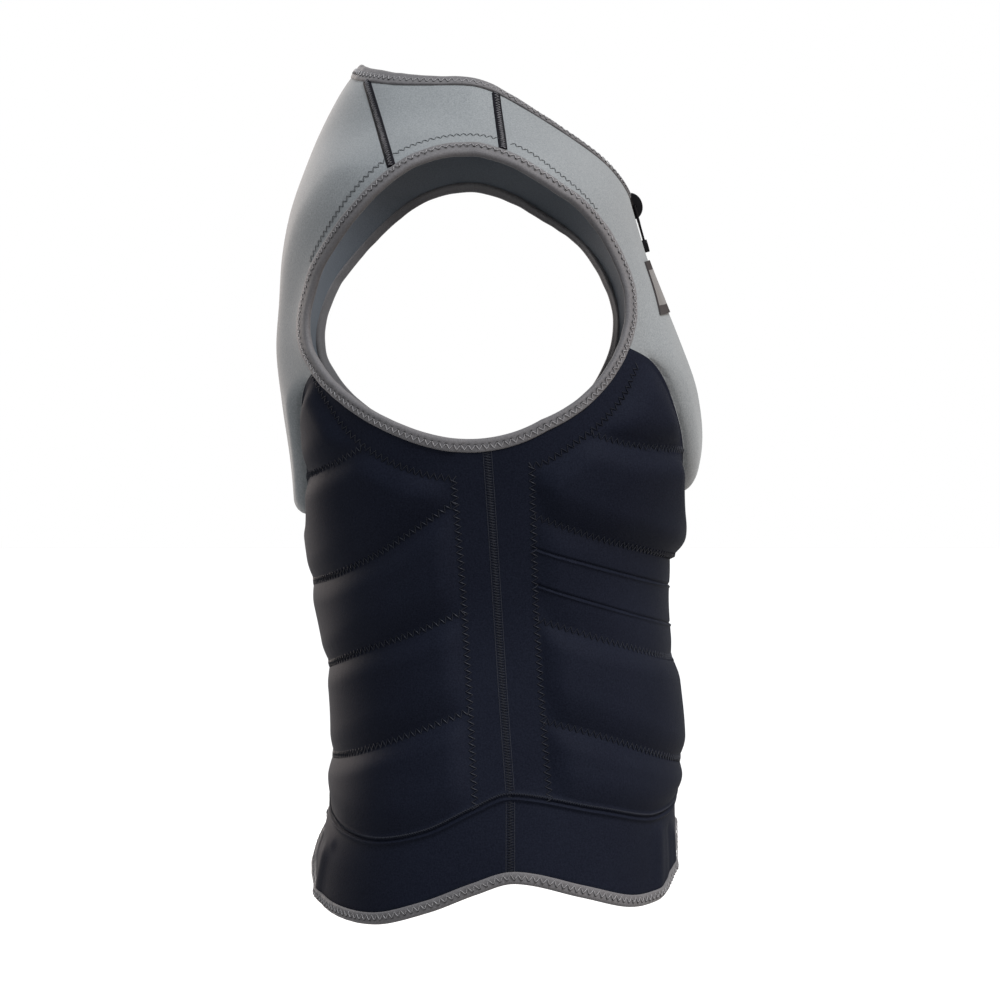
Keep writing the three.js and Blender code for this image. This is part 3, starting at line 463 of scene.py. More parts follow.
def quilt_pad(part, rows, channels, sides, edge, top_line, inside):
    """Quilted pads between channels, which run out slowly above a channel and rise sooner below it."""
    across, along = [Seam(line) for line in channels], [Seam(line) for line in sides]
    margin = Seam(edge)
    limit = spline(top_line, "y", "z")
    marks = [spline(row, "y", "z") for row in rows]

    def height(points):
        at = spot_of(points)
        band = sum((points[..., 2] < mark(points[..., 1])).astype(int) for mark in marks)
        share = np.sin(np.radians(at[..., 0])) ** 2
        rise = PAD_HEIGHTS[part][band] * (1 - share) + PAD_HEIGHTS[f"{part}_side"][band] * share
        rise = rise * swell(margin.measure(points)[0] - EDGING, QUILT_ROLL[f"{part}_edge"])
        over = QUILT_ROLL["over"] * (1 - share) + QUILT_ROLL["over_side"] * share
        for k, seam in enumerate(across):
            shallow = CHANNEL_SHALLOW * (1 - share) ** 2 if k < len(marks) else 0
            distance, above, run = seam.measure(points)
            roll = np.where(above > 0, over, QUILT_ROLL["under"])
            gather = np.sin(run * PUCKER["pace"] + ripple(run[..., None], **PUCKER_DRIFT))
            pucker = PUCKER["share"] * gather * np.exp(-distance / PUCKER["fade"])
            rise *= (shallow + (1 - shallow) * swell(distance - CHANNEL_FLOOR, roll)) * (1 + pucker)
        for seam in along:
            rise *= swell(seam.measure(points)[0] - CHANNEL_FLOOR, QUILT_ROLL["side"])
        kept = inside(np.abs(at[..., 0]), at[..., 1]) & (points[..., 2] < limit(points[..., 1]))
        return np.where(kept, rise, 0)

    return height


def level(height):
    return lambda points: np.full(points.shape[:-1], float(height))


def lower_panel(edge, arm, middle, waist_mark, channels, rows):
    """A black panel's grid and waist edge, the line beside its plain strip, and its channels."""
    strip = CELLS["strip"]
    arm_edge = joined(arm_line(*arm[:2], CELLS["armhole"]), arm_line(*arm[1:], strip))
    top = joined(*(line[::-1] for line in edge), arm_edge)
    cells = len(top) - 1 - strip
    waist = joined(waist_line(middle, waist_mark, cells), waist_line(waist_mark, WAIST_SIDE, strip))
    grid, marks = quilt_grid(top, waist, channels, rows, strip)
    return grid, waist, grid[:, -1 - strip], [grid[row, :-strip] for row in marks]


back_lower, back_waist, back_line, back_channels = lower_panel(
    (back_bottom, back_side), (ARM["back_grey"], ARM["back_line"], 360 + ARM["side"]),
    180, WAIST_BACK_LINE, BACK_CHANNELS, BACK_ROWS)
front_lower, front_waist, front_line, front_channels = lower_panel(
    (chest_bottom, chest_side), (ARM["front_grey"], ARM["front_line"], ARM["side"]),
    zip_spot(waist_height(0))[0], WAIST_FRONT_LINE, FRONT_CHANNELS, FRONT_ROWS)
side_seam = back_lower[:, -1]
back_upper = upper_grid(joined(back_side[::-1], arm_back, tape_back), back_bottom, neck_back,
                        lambda z: spots(180, z))
chest = upper_grid(joined(chest_side[::-1], arm_front, tape_front), chest_bottom, neck_front, zip_spot)
yoke = fill(tape_back, tape_front, arm_top, neck_top)


def angle_on(line, z):
    return np.interp(z, line[::-1, 1], line[::-1, 0])


back_pad = grey_pad(BACK_PAD, [joined(back_side, back_bottom)], [arm_back, tape_back])
chest_pad = grey_pad(CHEST_PAD, [joined(chest_side, chest_bottom), zip_line], [arm_front, tape_front])
back_quilt = quilt_pad(
    "back", BACK_CHANNELS, [*back_channels, back_waist, side_line(BACK_SPLIT)],
    [back_line, side_line(BACK_TOP_LINE)], joined(back_side, back_bottom),
    BACK_TOP_LINE, lambda angle, z: angle > angle_on(back_line, z))
front_quilt = quilt_pad(
    "front", FRONT_CHANNELS, [*front_channels, front_waist, side_line(FRONT_SPLIT)],
    [front_line, side_line(FRONT_TOP_LINE), zip_line], joined(chest_side, chest_bottom),
    FRONT_TOP_LINE, lambda angle, z: angle < angle_on(front_line, z))


# Materials
TONE_ENDS = (0.3, 0.7)  # the pattern, from 0 to 1, is dark below the first and light above the second


def two_tone(name, dark, light, rough, grain=0.9, bump=0.3, specular=0.25, sheen=0.0,
             sheen_tint=(0.9, 0.9, 0.9)):
    """Two tones in a fine grain and in wide drifts, with a fine raised grain."""
    finish = bpy.data.materials.new(name)
    finish.use_nodes = True
    nodes, links = finish.node_tree.nodes, finish.node_tree.links
    shader, place = nodes["Principled BSDF"], nodes.new("ShaderNodeTexCoord")
    fine, wide = nodes.new("ShaderNodeTexNoise"), nodes.new("ShaderNodeTexNoise")
    blend, ramp = nodes.new("ShaderNodeMix"), nodes.new("ShaderNodeValToRGB")
    raised = nodes.new("ShaderNodeBump")
    settings = (
        (shader, {"Roughness": rough, "Specular IOR Level": specular, "Sheen Weight": sheen,
                  "Sheen Roughness": 0.45, "Sheen Tint": (*sheen_tint, 1)}),
        (fine, {"Scale": 1 / (grain * MM), "Detail": 3}),
        (wide, {"Scale": 14, "Detail": 2}),
        (blend, {"Factor": 0.3}),
        (raised, {"Strength": bump, "Distance": 0.4 * MM}),
    )
    for node, values in settings:
        for socket, value in values.items():
            node.inputs[socket].default_value = value
    for stop, at, tone in zip(ramp.color_ramp.elements, TONE_ENDS, (dark, light)):
        stop.position = at
        stop.color = (*tone, 1)
    wires = ((place, "Object", fine, "Vector"), (place, "Object", wide, "Vector"), (fine, "Fac", blend, "A"),
             (wide, "Fac", blend, "B"), (blend, "Result", ramp, "Fac"), (ramp, "Color", shader, "Base Color"),
             (fine, "Fac", raised, "Height"), (raised, "Normal", shader, "Normal"))
    for source, output, target, socket in wires:
        links.new(source.outputs[output], target.inputs[socket])
    return finish


GREY_CLOTH = two_tone("grey_cloth", (0.069, 0.076, 0.082), (0.12, 0.129, 0.135), 0.8, grain=1.1, bump=0.4,
                      sheen=0.1, sheen_tint=(0.95, 0.93, 0.9))
BLACK_CLOTH = two_tone("black_cloth", (0.0016, 0.0022, 0.0052), (0.0046, 0.0058, 0.0108), 0.74, grain=1.1,
                       bump=0.4, specular=0.035)
LINING = two_tone("lining", (0.035, 0.042, 0.052), (0.06, 0.07, 0.084), 0.85, bump=0.25,
                  sheen=0.1, sheen_tint=(0.8, 0.85, 0.9))
BINDING_CLOTH = two_tone("binding", (0.041, 0.04, 0.043), (0.07, 0.068, 0.072), 0.75, grain=1.1, bump=0.5,
                         sheen=0.08, sheen_tint=(0.9, 0.88, 0.86))
TAPE_CLOTH = two_tone("seam_tape", (0.0015, 0.0015, 0.0024), (0.004, 0.004, 0.006), 0.75, bump=0.5,
                      specular=0.05)
# Painted highlight: the ladder thread is lighter than the dark tape to stand for glints on shiny dark thread
TAPE_THREAD_GLINT = two_tone("tape_thread_painted_glint", (0.02, 0.02, 0.023), (0.14, 0.14, 0.15), 0.5, grain=1.6, specular=0.1)
GREY_THREAD = two_tone("grey_thread", (0.06, 0.059, 0.063), (0.19, 0.187, 0.195), 0.5, sheen=0.05)
# Painted shade: dark dashes that stand for the shadow in each needle hole
HOLE_SHADE = two_tone("painted_needle_hole_shade", (0.006, 0.006, 0.007), (0.02, 0.02, 0.021), 0.8, specular=0.1)
DARK_THREAD = two_tone("dark_thread", (0.018, 0.02, 0.023), (0.034, 0.037, 0.041), 0.55, specular=0.15,
                       sheen=0.02)
BLACK_THREAD = two_tone("black_thread", (0.004, 0.0047, 0.008), (0.0108, 0.0122, 0.0172), 0.5, specular=0.1)
SEAM_THREAD = two_tone("seam_thread", (0.007, 0.0078, 0.0116), (0.016, 0.0178, 0.024), 0.6, specular=0.06)
PATCH_RUBBER = two_tone("patch_rubber", (0.05, 0.046, 0.044), (0.075, 0.07, 0.067), 0.5, grain=0.6, bump=0.1)
PATCH_BAR = two_tone("patch_bar", (0.022, 0.02, 0.02), (0.036, 0.033, 0.033), 0.6, grain=0.6, bump=0.1,
                     specular=0.0)
ZIP_PLASTIC = two_tone("zip_plastic", (0.006, 0.006, 0.008), (0.012, 0.012, 0.014), 0.32, grain=2, bump=0.05)
ZIP_GLOSS = two_tone("zip_gloss", (0.002, 0.002, 0.0025), (0.004, 0.004, 0.0045), 0.22, grain=3, bump=0.4,
                     specular=0.06)


# Meshes
def add_piece(name, vertices, faces, finishes, face_finish=None, sharp=40):
    mesh = bpy.data.meshes.new(name)
    mesh.from_pydata((vertices * MM).tolist(), [], [list(face) for face in faces])
    mesh.validate()
    for finish in finishes:
        mesh.materials.append(finish)
    if face_finish is not None:
        mesh.polygons.foreach_set("material_index", face_finish)
    mesh.shade_smooth()
    mesh.set_sharp_from_angle(angle=math.radians(sharp))
    piece = bpy.data.objects.new(name, mesh)
    scene.collection.objects.link(piece)
    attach(piece, "vest")
    return piece


def grid_faces(rows, columns, ring=False):
    i = np.arange(rows if ring else rows - 1)[:, None]
    j = np.arange(columns - 1)[None, :]
    a, b = i * columns + j, (i + 1) % rows * columns + j
    return np.stack([a, b, b + 1, a + 1], -1).reshape(-1, 4)


def tube_faces(rings, sides, closed=False):
    """Faces round a tube, whose last side meets its first."""
    faces = grid_faces(rings, sides + 1, closed)
    return faces // (sides + 1) * sides + faces % (sides + 1) % sides


def shell(outer, inner, normals):
    """Closed solid between two grids of points: vertices, faces, and which faces are the inner ones."""
    rows, columns = outer.shape[:2]
    count = rows * columns
    face = grid_faces(rows, columns)
    turned = np.cross(outer[1, 0] - outer[0, 0], outer[0, 1] - outer[0, 0]) @ normals[0, 0] < 0
    number = np.arange(count).reshape(rows, columns)
    loop = np.concatenate([number[0], number[1:, -1], number[-1, -2::-1], number[-2:0:-1, 0]])
    after = np.roll(loop, -1)
    rim = np.stack([loop, after, after + count, loop + count], -1)
    faces = [face, face[:, ::-1] + count, rim]
    if turned:
        faces = [part[:, ::-1] for part in faces]
    inside = np.repeat([0, 1, 0], [len(part) for part in faces])
    vertices = np.concatenate([outer.reshape(-1, 3), inner.reshape(-1, 3)])
    return vertices, np.concatenate(faces), inside


def layer(grid, top, under):
    """Shell between two heights over the cloth."""
    points, normals = point_at(grid), normal_at(grid)
    outer, inner = [points + normals * np.asarray(height)[..., None] for height in (top, under)]
    return shell(outer, inner, normals)


def soft_waves(points):
    """Height of the waves, alike on both halves and smooth across the mid-plane."""
    across = -np.hypot(points[..., :1], MIDDLE_ROUND)
    return ripple(np.concatenate([across, points[..., 1:]], axis=-1), **UNEVEN)


def add_cloth(node, grid, height, finish, slot, fill=0.7, sag=0.0):
    points, normals = point_at(grid), normal_at(grid)
    rise = height(points)
    out = rise + soft_waves(points)
    out[[0, -1]] -= SEAM_DIP
    out[:, [0, -1]] -= SEAM_DIP
    outer = points + normals * out[..., None]
    outer[..., 2] -= sag * rise
    vertices, faces, inside = shell(outer, points - normals * CLOTH, normals)
    piece = add_piece(f"{node}_cloth", vertices, faces, [finish, LINING], inside)
    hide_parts(node)


def add_both_sides(name, grid, height, finish, slot, **options):
    add_cloth(f"{name}_right", grid, height, finish, slot, **options)
    add_cloth(f"{name}_left", mirror(grid), height, finish, slot, **options)


# Panels
WAIST_RIDGE = {"height": 1.5, "from_seam": 1.9, "half": 1.2}  # rolled ridge on each side of the waist seam
CREASE = {"groove": 0.9, "lip": 0.8, "half": 0.8}  # tucks of the flat front pad, each a groove over a lip
FOLD_FADE = {"none": 3.0, "full": 16.0}  # distances below the waist seam between which the folds begin
FOLD_POINTS = 30
# Soft folds of the band: ends of each fold's line, its height, and half its width
BAND_FOLDS = table("angle z low_angle low_z height half", [
    [23, -500, 22, -522, 1.3, 6.0],
    [30, -494, 30, -520, -1.0, 6.0],
    [39, -490, 40, -530, 1.8, 9.0],
    [145, -510, 149, -536, 2.2, 8.0],
    [174, -490, 152, -514, -2.4, 7.0],
    [176, -498, 160, -527, -1.8, 12.0],
    [160, -484, 140, -500, 1.6, 6.0],
])
right_waist = joined(front_waist, back_waist[::-1])
waist_seam = Seam(whole_round(right_waist))
crease_seams = [Seam(side_line(rows)) for rows in FRONT_CREASES]
fold_tops = spots(BAND_FOLDS["angle"], BAND_FOLDS["z"])
fold_feet = spots(BAND_FOLDS["low_angle"], BAND_FOLDS["low_z"])
fold_lines = [Seam(between(top, foot, np.linspace(0, 1, FOLD_POINTS)))
              for top, foot in zip(fold_tops, fold_feet)]


def waist_ridge(points):
    distance = waist_seam.measure(points)[0] - WAIST_RIDGE["from_seam"]
    return WAIST_RIDGE["height"] * np.exp(-(distance / WAIST_RIDGE["half"]) ** 2)


def back_lower_height(points):
    return back_quilt(points) + waist_ridge(points)


def front_lower_height(points):
    rise = front_quilt(points)
    for seam in crease_seams:
        distance, above, _ = seam.measure(points)
        side = np.sign(above) * distance / CREASE["half"]
        rise += CREASE["lip"] * np.exp(-(side + 1) ** 2) - CREASE["groove"] * np.exp(-(side - 1) ** 2)
    return rise + waist_ridge(points)


def band_folds(points):
    """Soft folds of the plain band, which fade towards the waist seam."""
    turn = np.abs(spot_of(points)[..., 0])
    below = smoothstep(waist_height(turn) - points[..., 2], FOLD_FADE["none"], FOLD_FADE["full"])
    waves = [height * np.exp(-(line.measure(points)[0] / half) ** 2)
             for line, height, half in zip(fold_lines, BAND_FOLDS["height"], BAND_FOLDS["half"])]
    return below * np.sum(waves, axis=0)


def band_height(points):
    return waist_ridge(points) + band_folds(points)


def aside(line, width):
    """A line moved sideways along the cloth."""
    points = point_at(line)
    side = unit(np.cross(normal_at(line), np.gradient(points, axis=0)))
    moved = spot_of(points + side * np.reshape(width, (-1, 1)))
    turn = (moved[:, 0] - line[:, 0] + 180) % 360 - 180
    return spots(line[:, 0] + turn, moved[:, 1])


def ruled(lower, upper, count):
    """Grid between two lines, with its rows closer together near the upper one."""
    shares = np.sin(np.linspace(0, math.pi / 2, count + 1))
    return np.stack([between(lower, upper, np.full(len(lower), t)) for t in shares])


right_hem = spots(right_waist[:, 0], hem_height(right_waist[:, 0]))
whole_hem = whole_round(right_hem)
whole_band = aside(whole_hem, -HEM_BINDING)
band_front = whole_band[:len(front_waist)]
band_back = whole_band[len(front_waist) - 1:len(right_hem)][::-1]

add_cloth("back_upper", both_halves(back_upper), back_pad, GREY_CLOTH, "grey_cloth")
add_both_sides("chest", chest, chest_pad, GREY_CLOTH, "grey_cloth")
add_both_sides("shoulder", yoke, level(0), GREY_CLOTH, "grey_cloth", fill=0.5)
add_cloth("back_lower", both_halves(back_lower), back_lower_height, BLACK_CLOTH, "black_cloth", sag=SAG)
add_both_sides("front_lower", front_lower, front_lower_height, BLACK_CLOTH, "black_cloth", sag=SAG)
add_cloth("band_back", both_halves(ruled(band_back, back_waist, CELLS["band"])), band_height, BLACK_CLOTH,
          "black_cloth", fill=0.5)
add_both_sides("band_front", ruled(band_front, front_waist, CELLS["band"]), band_height, BLACK_CLOTH,
               "black_cloth", fill=0.5)

# Edge binding, folded over the cloth's edge: share of its width from the edge, and distance out of the cloth
BINDING_PROFILE = table("share out", [
    [1.07, 0.1], [1.04, 0.75], [0.95, 1.1], [0.75, 1.0], [0.52, 0.75], [0.4, 0.7], [0.25, 0.75], [0.1, 0.35],
    [0.01, -0.5], [-0.02, -2.0], [0.01, -3.5], [0.1, -4.35], [0.25, -4.75], [0.4, -4.7], [0.52, -4.75],
    [0.75, -5.0], [0.95, -5.1], [1.04, -4.75], [1.07, -4.1],
])
OUTER_STEPS = 9  # steps of that profile on the outer face
BINDING_UNEVEN = {"rise": 0.2, "size": 11.0, "seed": 3}
# End of the armhole binding that lies on top of its start: degrees round the armhole, and its rise
LAP = {"end": 268.0, "start": 240.0, "growth": 14.0, "slant": 4.0, "edge": 0.4, "rise": 0.9}
HEM_CURL = {"angle": 167.0, "half": 9.0, "rise": 3.2}
RING = 640  # steps round an armhole


def add_binding(node, seam, edge, ring, lap=0.0):
    """Strip swept along an edge with the folded profile, with a lap added to it."""
    inside, rim, normals = point_at(seam), point_at(edge), normal_at(edge)
    steps = len(BINDING_PROFILE["share"])
    across = (inside - rim)[:, None] * BINDING_PROFILE["share"][:, None]
    ruffle = ripple(rim, **BINDING_UNEVEN) + soft_waves(rim)
    out = normals[:, None] * (BINDING_PROFILE["out"] + ruffle[:, None] + lap)[..., None]
    points = rim[:, None] + across + out
    faces = tube_faces(len(rim), steps, ring)
    outward = np.cross(points[1, 0] - points[0, 0], points[0, 1] - points[0, 0])
    turned = outward @ (points[0, 0] - points[0].mean(axis=0)) < 0
    faces = (faces[:, ::-1] if turned else faces).tolist()
    if not ring:
        first, last = list(range(steps)), list(range((len(rim) - 1) * steps, len(rim) * steps))
        faces += [first[::-1], last] if turned else [first, last[::-1]]
    piece = add_piece(f"{node}_fold", points.reshape(-1, 3), faces, [BINDING_CLOTH], sharp=60)
    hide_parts(node)


def arm_ring(across):
    return arm_line(ARM["side"], ARM["side"] + 360, RING, across)[:-1]


def lap_rise(turn, share):
    """The lap grows slowly and is cut off at a slant."""
    cut = LAP["end"] - LAP["slant"] * share
    begun = smoothstep(turn, LAP["start"], LAP["start"] + LAP["growth"])
    return LAP["rise"] * begun * (1 - smoothstep(turn, cut - LAP["edge"], cut + LAP["edge"]))


def arm_lap():
    turn = np.linspace(ARM["side"], ARM["side"] + 360, RING + 1)[:-1, None]
    return lap_rise(turn, BINDING_PROFILE["share"]) * (np.arange(len(BINDING_PROFILE["share"])) < OUTER_STEPS)


def hem_curl(angle):
    turn = np.abs((angle + 180) % 360 - 180)
    return HEM_CURL["rise"] * np.exp(-((turn - HEM_CURL["angle"]) / HEM_CURL["half"]) ** 2)


def hem_lap(share):
    """The hem binding follows the band's folds, and its free edge curls out beside the back notch."""
    rim, seam = band_folds(point_at(whole_hem)), band_folds(point_at(whole_band))
    return (rim + hem_curl(whole_hem[:, 0]))[:, None] * (1 - share) + seam[:, None] * share


right_neck = joined(neck_front, neck_top[::-1], neck_back[::-1])
neck_angle = right_neck[:, 0]
neck_rim = whole_round(spots(neck_angle, neck_height(neck_angle)))
add_binding("neck_binding", whole_round(right_neck), neck_rim, False)
add_binding("hem_binding", whole_band, whole_hem, False, hem_lap(BINDING_PROFILE["share"]))
add_binding("arm_binding_right", arm_ring(0), arm_ring(1), True, arm_lap())
add_binding("arm_binding_left", mirror(arm_ring(0)), mirror(arm_ring(1)), True, arm_lap())

# Stitches: threads that lie on the cloth and dip into it at each needle hole
ZIGZAG = {"width": 4.6, "pitch": 4.8}
GREY_ZIGZAG = {"width": 3.6, "pitch": 4.4}
BINDING_ZIGZAG = {"width": 3.6, "pitch": 4.8}
FLATLOCK = {"width": 5.6, "pitch": 1.8, "row": 1.8}
RIDGE_STITCH = {"width": 1.5, "pitch": 1.7}
LADDER = {"width": 2.8, "pitch": 2.6}
HOLE_SHADE_DASH = {"half": 0.75, "lift": 0.2}  # dark dash of painted shade in each needle hole on one side of a zigzag
THREAD = {"quilt": 0.36, "binding": 0.32, "seam": 0.3, "hole": 0.3, "fine": 0.27}  # radii
THREAD_SIDES = 5
THREAD_LIFT = {"hole": 0.0, "top": 0.4}
SEAM_PRESS = -0.22  # flat seams lie pressed into the cloth
BAND_SEAM_STEPS = 40


def stitched(points, height, sag=0.0):
    """Points laid on the raised cloth, by turns in a hole and on top, and the normals there."""
    at = spot_of(points)
    base, normals = point_at(at), normal_at(at)
    rise = height(base)
    lift = np.where(np.arange(len(points)) % 2, THREAD_LIFT["top"], THREAD_LIFT["hole"])
    placed = base + normals * (rise + soft_waves(base) + lift)[..., None]
    placed[..., 2] -= sag * rise
    return placed, normals


def zigzag(line, height, width, pitch, sag=0.0):
    """Thread that crosses from side to side of a line, up on each crossing and down in each hole."""
    middle, _ = resampled(point_at(line), pitch / 2)
    side = unit(np.cross(normal_at(spot_of(middle)), np.gradient(middle, axis=0)))
    sign = np.where(np.arange(len(middle)) % 2, 1, -1)[:, None]
    corners = middle + side * sign * width / 2
    points = np.repeat(corners, 2, axis=0)[:-1]
    points[1::2] = (corners[1:] + corners[:-1]) / 2
    return stitched(points, height, sag)


def painted_hole_shades(line, height, width, pitch):
    """Dark dashes of painted shade in the needle holes along the outer side of a zigzag."""
    points, normals = zigzag(line, height, width, pitch)
    corners, out = points[2::4] + normals[2::4] * HOLE_SHADE_DASH["lift"], normals[2::4]
    along = unit(np.gradient(corners, axis=0)) * HOLE_SHADE_DASH["half"]
    dashes = np.stack([corners - along, corners + along], axis=1)
    return list(zip(dashes, np.stack([out, out], axis=1)))


def row(line, height, step):
    """Straight row of short stitches."""
    return stitched(resampled(point_at(line), step / 2)[0], height)


def covered(line, height, kind):
    """Flat seam: threads back and forth across it between two straight rows."""
    edges = [aside(line, side * kind["width"] / 2) for side in (-1, 1)]
    return [zigzag(line, height, kind["width"], kind["pitch"]),
            *(row(edge, height, kind["row"]) for edge in edges)]


def add_threads(name, paths, finish, radius):
    """All the threads of one colour as one piece, on both sides of the vest."""
    turn = 2 * math.pi * np.arange(THREAD_SIDES) / THREAD_SIDES
    vertices, faces, count = [], [], 0
    for points, normals in paths:
        for flip in (1, -1):
            way = np.array([flip, 1, 1])
            middle, out = points * way, normals * way
            along = unit(np.gradient(middle, axis=0))
            side = unit(np.cross(along, out))
            out = np.cross(side, along)
            ring = side[:, None] * np.cos(turn)[:, None] + out[:, None] * np.sin(turn)[:, None]
            vertices.append((middle[:, None] + ring * radius).reshape(-1, 3))
            faces += (tube_faces(len(middle), THREAD_SIDES)[:, ::-1] + count).tolist()
            last = count + (len(middle) - 1) * THREAD_SIDES
            faces.append(list(range(count, count + THREAD_SIDES)))
            faces.append(list(range(last + THREAD_SIDES - 1, last - 1, -1)))
            count += len(middle) * THREAD_SIDES
    add_piece(name, np.concatenate(vertices), faces, [finish], sharp=80)


def trimmed(line, gap):
    """A line without some of its length at each end."""
    points, run = resampled(point_at(line))
    return spot_of(points[(run >= gap) & (run <= run[-1] - gap)])


back_stitches = [*back_channels, back_line[back_line[:, 1] < BACK_TOP_LINE["z"][0]],
                 side_line(BACK_TOP_LINE), side_line(BACK_SPLIT)]
front_stitches = [*front_channels, front_line[front_line[:, 1] < FRONT_TOP_LINE["z"][-1]],
                  side_line(FRONT_TOP_LINE), side_line(FRONT_SPLIT)]
black_paths = [zigzag(line, back_lower_height, sag=SAG, **ZIGZAG) for line in back_stitches]
black_paths += [zigzag(line, front_lower_height, sag=SAG, **ZIGZAG) for line in front_stitches]
add_threads("black_stitches", black_paths, BLACK_THREAD, THREAD["quilt"])
band_seam = ruled(band_back[-1:], back_waist[-1:], BAND_SEAM_STEPS)[:, 0]
seam_paths = [*covered(side_seam, level(SEAM_PRESS), FLATLOCK),
              *covered(band_seam, level(SEAM_PRESS), FLATLOCK),
              zigzag(aside(right_waist, -WAIST_RIDGE["from_seam"]), waist_ridge, **RIDGE_STITCH)]
add_threads("seam_stitches", seam_paths, SEAM_THREAD, THREAD["seam"])

BINDING_ROW = 0.62  # how far across its binding a row of stitches runs, from the edge
# Rows of stitches beside the armhole on the grey panels: both ends in degrees round it, steps, and distance
# from its seam at the second end
SHOULDER_ROWS = [(121.6, 166, 80, 2.4), (119, 80, 60, 6.5), (75.8, 36, 80, 2.4)]
SHOULDER_ROW = {"start": 6.5, "power": 1.5}  # distance at the first end, and how late a row closes in


def on_hem_binding(points):
    return BINDING_PROUD + band_folds(points) + hem_curl(spot_of(points)[..., 0]) * (1 - BINDING_ROW)


def on_arm_binding(points):
    turn = np.degrees(np.arctan2(points[..., 2] - ARM_CENTRE["z"], ARM_CENTRE["y"] - points[..., 1]))
    return BINDING_PROUD + lap_rise((turn - ARM["side"]) % 360 + ARM["side"], BINDING_ROW)


arm_row = arm_ring(1 - BINDING_ROW)
arm_row = np.concatenate([arm_row, arm_row[:1]])
hem_row = aside(right_hem, -HEM_BINDING * BINDING_ROW)
neck_row = spots(neck_angle, neck_height(neck_angle) - BINDING_ROW * neck_binding(neck_angle))
binding_rows = ((arm_row, on_arm_binding), (hem_row, on_hem_binding), (neck_row, level(BINDING_PROUD)))
binding_paths = [zigzag(line, height, **BINDING_ZIGZAG) for line, height in binding_rows]
add_threads("binding_stitches", binding_paths, GREY_THREAD, THREAD["binding"])
# Dark dashes of painted shade in the binding's needle holes
hole_shade_paths = [path for line, height in binding_rows for path in painted_hole_shades(line, height, **BINDING_ZIGZAG)]
add_threads("binding_painted_hole_shade", hole_shade_paths, HOLE_SHADE, THREAD["hole"])

grey_paths = []
for (first, last, steps, end), height in zip(SHOULDER_ROWS, (back_pad, level(0), chest_pad)):
    closed = np.linspace(0, 1, steps + 1) ** SHOULDER_ROW["power"]
    outside = SHOULDER_ROW["start"] + (end - SHOULDER_ROW["start"]) * closed
    grey_paths.append(zigzag(arm_line(first, last, steps, outside=outside), height, **GREY_ZIGZAG))
add_threads("shoulder_stitches", grey_paths, DARK_THREAD, THREAD["fine"])


# Tapes over the shoulder seams
def add_tape(node, seam, flip):
    line = trimmed(seam, TAPE["end_gap"])
    shares = np.linspace(-1, 1, TAPE["columns"])
    grid = np.stack([aside(line, share * TAPE["half"]) for share in shares], axis=1)
    grid = mirror(grid) if flip else grid
    bow = TAPE["thick"] * dome(1 - np.abs(shares), TAPE["roll"]) + TAPE["lift"]
    uneven = soft_waves(point_at(grid))
    vertices, faces, _ = layer(grid, uneven + bow, uneven - TAPE["sunk"])
    piece = add_piece(f"{node}_strip", vertices, faces, [TAPE_CLOTH])
    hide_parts(node)


on_tape = level(TAPE["thick"] + TAPE["thread_lift"])
for place, seam in (("front", tape_front), ("back", tape_back)):
    for side, flip in (("right", False), ("left", True)):
        add_tape(f"shoulder_tape_{place}_{side}", seam, flip)
ladder_rows = [trimmed(seam, TAPE["thread_gap"]) for seam in (tape_front, tape_back)]
ladder_paths = [zigzag(line, on_tape, **LADDER) for line in ladder_rows]
# The ladder threads' light tone is a painted glint
add_threads("tape_stitches", ladder_paths, TAPE_THREAD_GLINT, THREAD["fine"])

# Bare patch on the right chest, with a raised frame and a dark bar at each end
PATCH_CELLS = {"rows": 30, "columns": 28}
PATCH_FRAME = {"rows": 3, "columns": 2, "bar": 5, "rise": 0.35}  # its widths are counted in cells
patch_up = np.linspace(0, 1, PATCH_CELLS["rows"] + 1)[:, None]
patch_out = np.linspace(0, 1, PATCH_CELLS["columns"] + 1)
patch_x = PATCH["inner"] + (PATCH["outer"] - PATCH["inner"]) * patch_out + PATCH["lean"] * (1 - patch_up)
patch_z = PATCH["low"] + (PATCH["high"] - PATCH["low"]) * patch_up - PATCH["fall"] * patch_out
patch_grid = from_middle(patch_x, patch_z, 1)
patch_points = point_at(patch_grid)
patch_base = chest_pad(patch_points) + soft_waves(patch_points)
frame_rise = np.full(patch_base.shape, PATCH_FRAME["rise"])
frame_rise[PATCH_FRAME["rows"]:-PATCH_FRAME["rows"], PATCH_FRAME["columns"]:-PATCH_FRAME["columns"]] = 0
vertices, faces, _ = layer(patch_grid, patch_base + PATCH["thick"] + frame_rise, patch_base - PATCH["gap"])
patch_row = np.arange(len(faces)) // PATCH_CELLS["columns"]
patch_bars = (patch_row < PATCH_FRAME["bar"]) | (patch_row >= PATCH_CELLS["rows"] - PATCH_FRAME["bar"])
patch = add_piece("chest_patch_rubber", vertices, faces, [PATCH_RUBBER, PATCH_BAR],
                  patch_bars.astype(int))
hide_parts("chest_patch")

# Zip: tapes behind the front edges, teeth between them, and the solids of the slider and pull
zip_low = band_front[0, 1] + ZIP_TAPE["end_gap"]
zip_heights = np.linspace(zip_low, zip_top[1] - ZIP_TAPE["end_gap"], ZIP_TAPE["rows"])


def add_zip_tape(node, flip):
    across = np.linspace(ZIP_TAPE["inner"], ZIP_TAPE["outer"], ZIP_TAPE["columns"])
    grid = np.stack([zip_spot(zip_heights, x) for x in across], axis=1)
    grid = mirror(grid) if flip else grid
    vertices, faces, _ = layer(grid, -ZIP_TAPE["sunk"], -ZIP_TAPE["sunk"] - ZIP_TAPE["thick"])
    piece = add_piece(f"{node}_weave", vertices, faces, [TAPE_CLOTH])
    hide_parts(node)


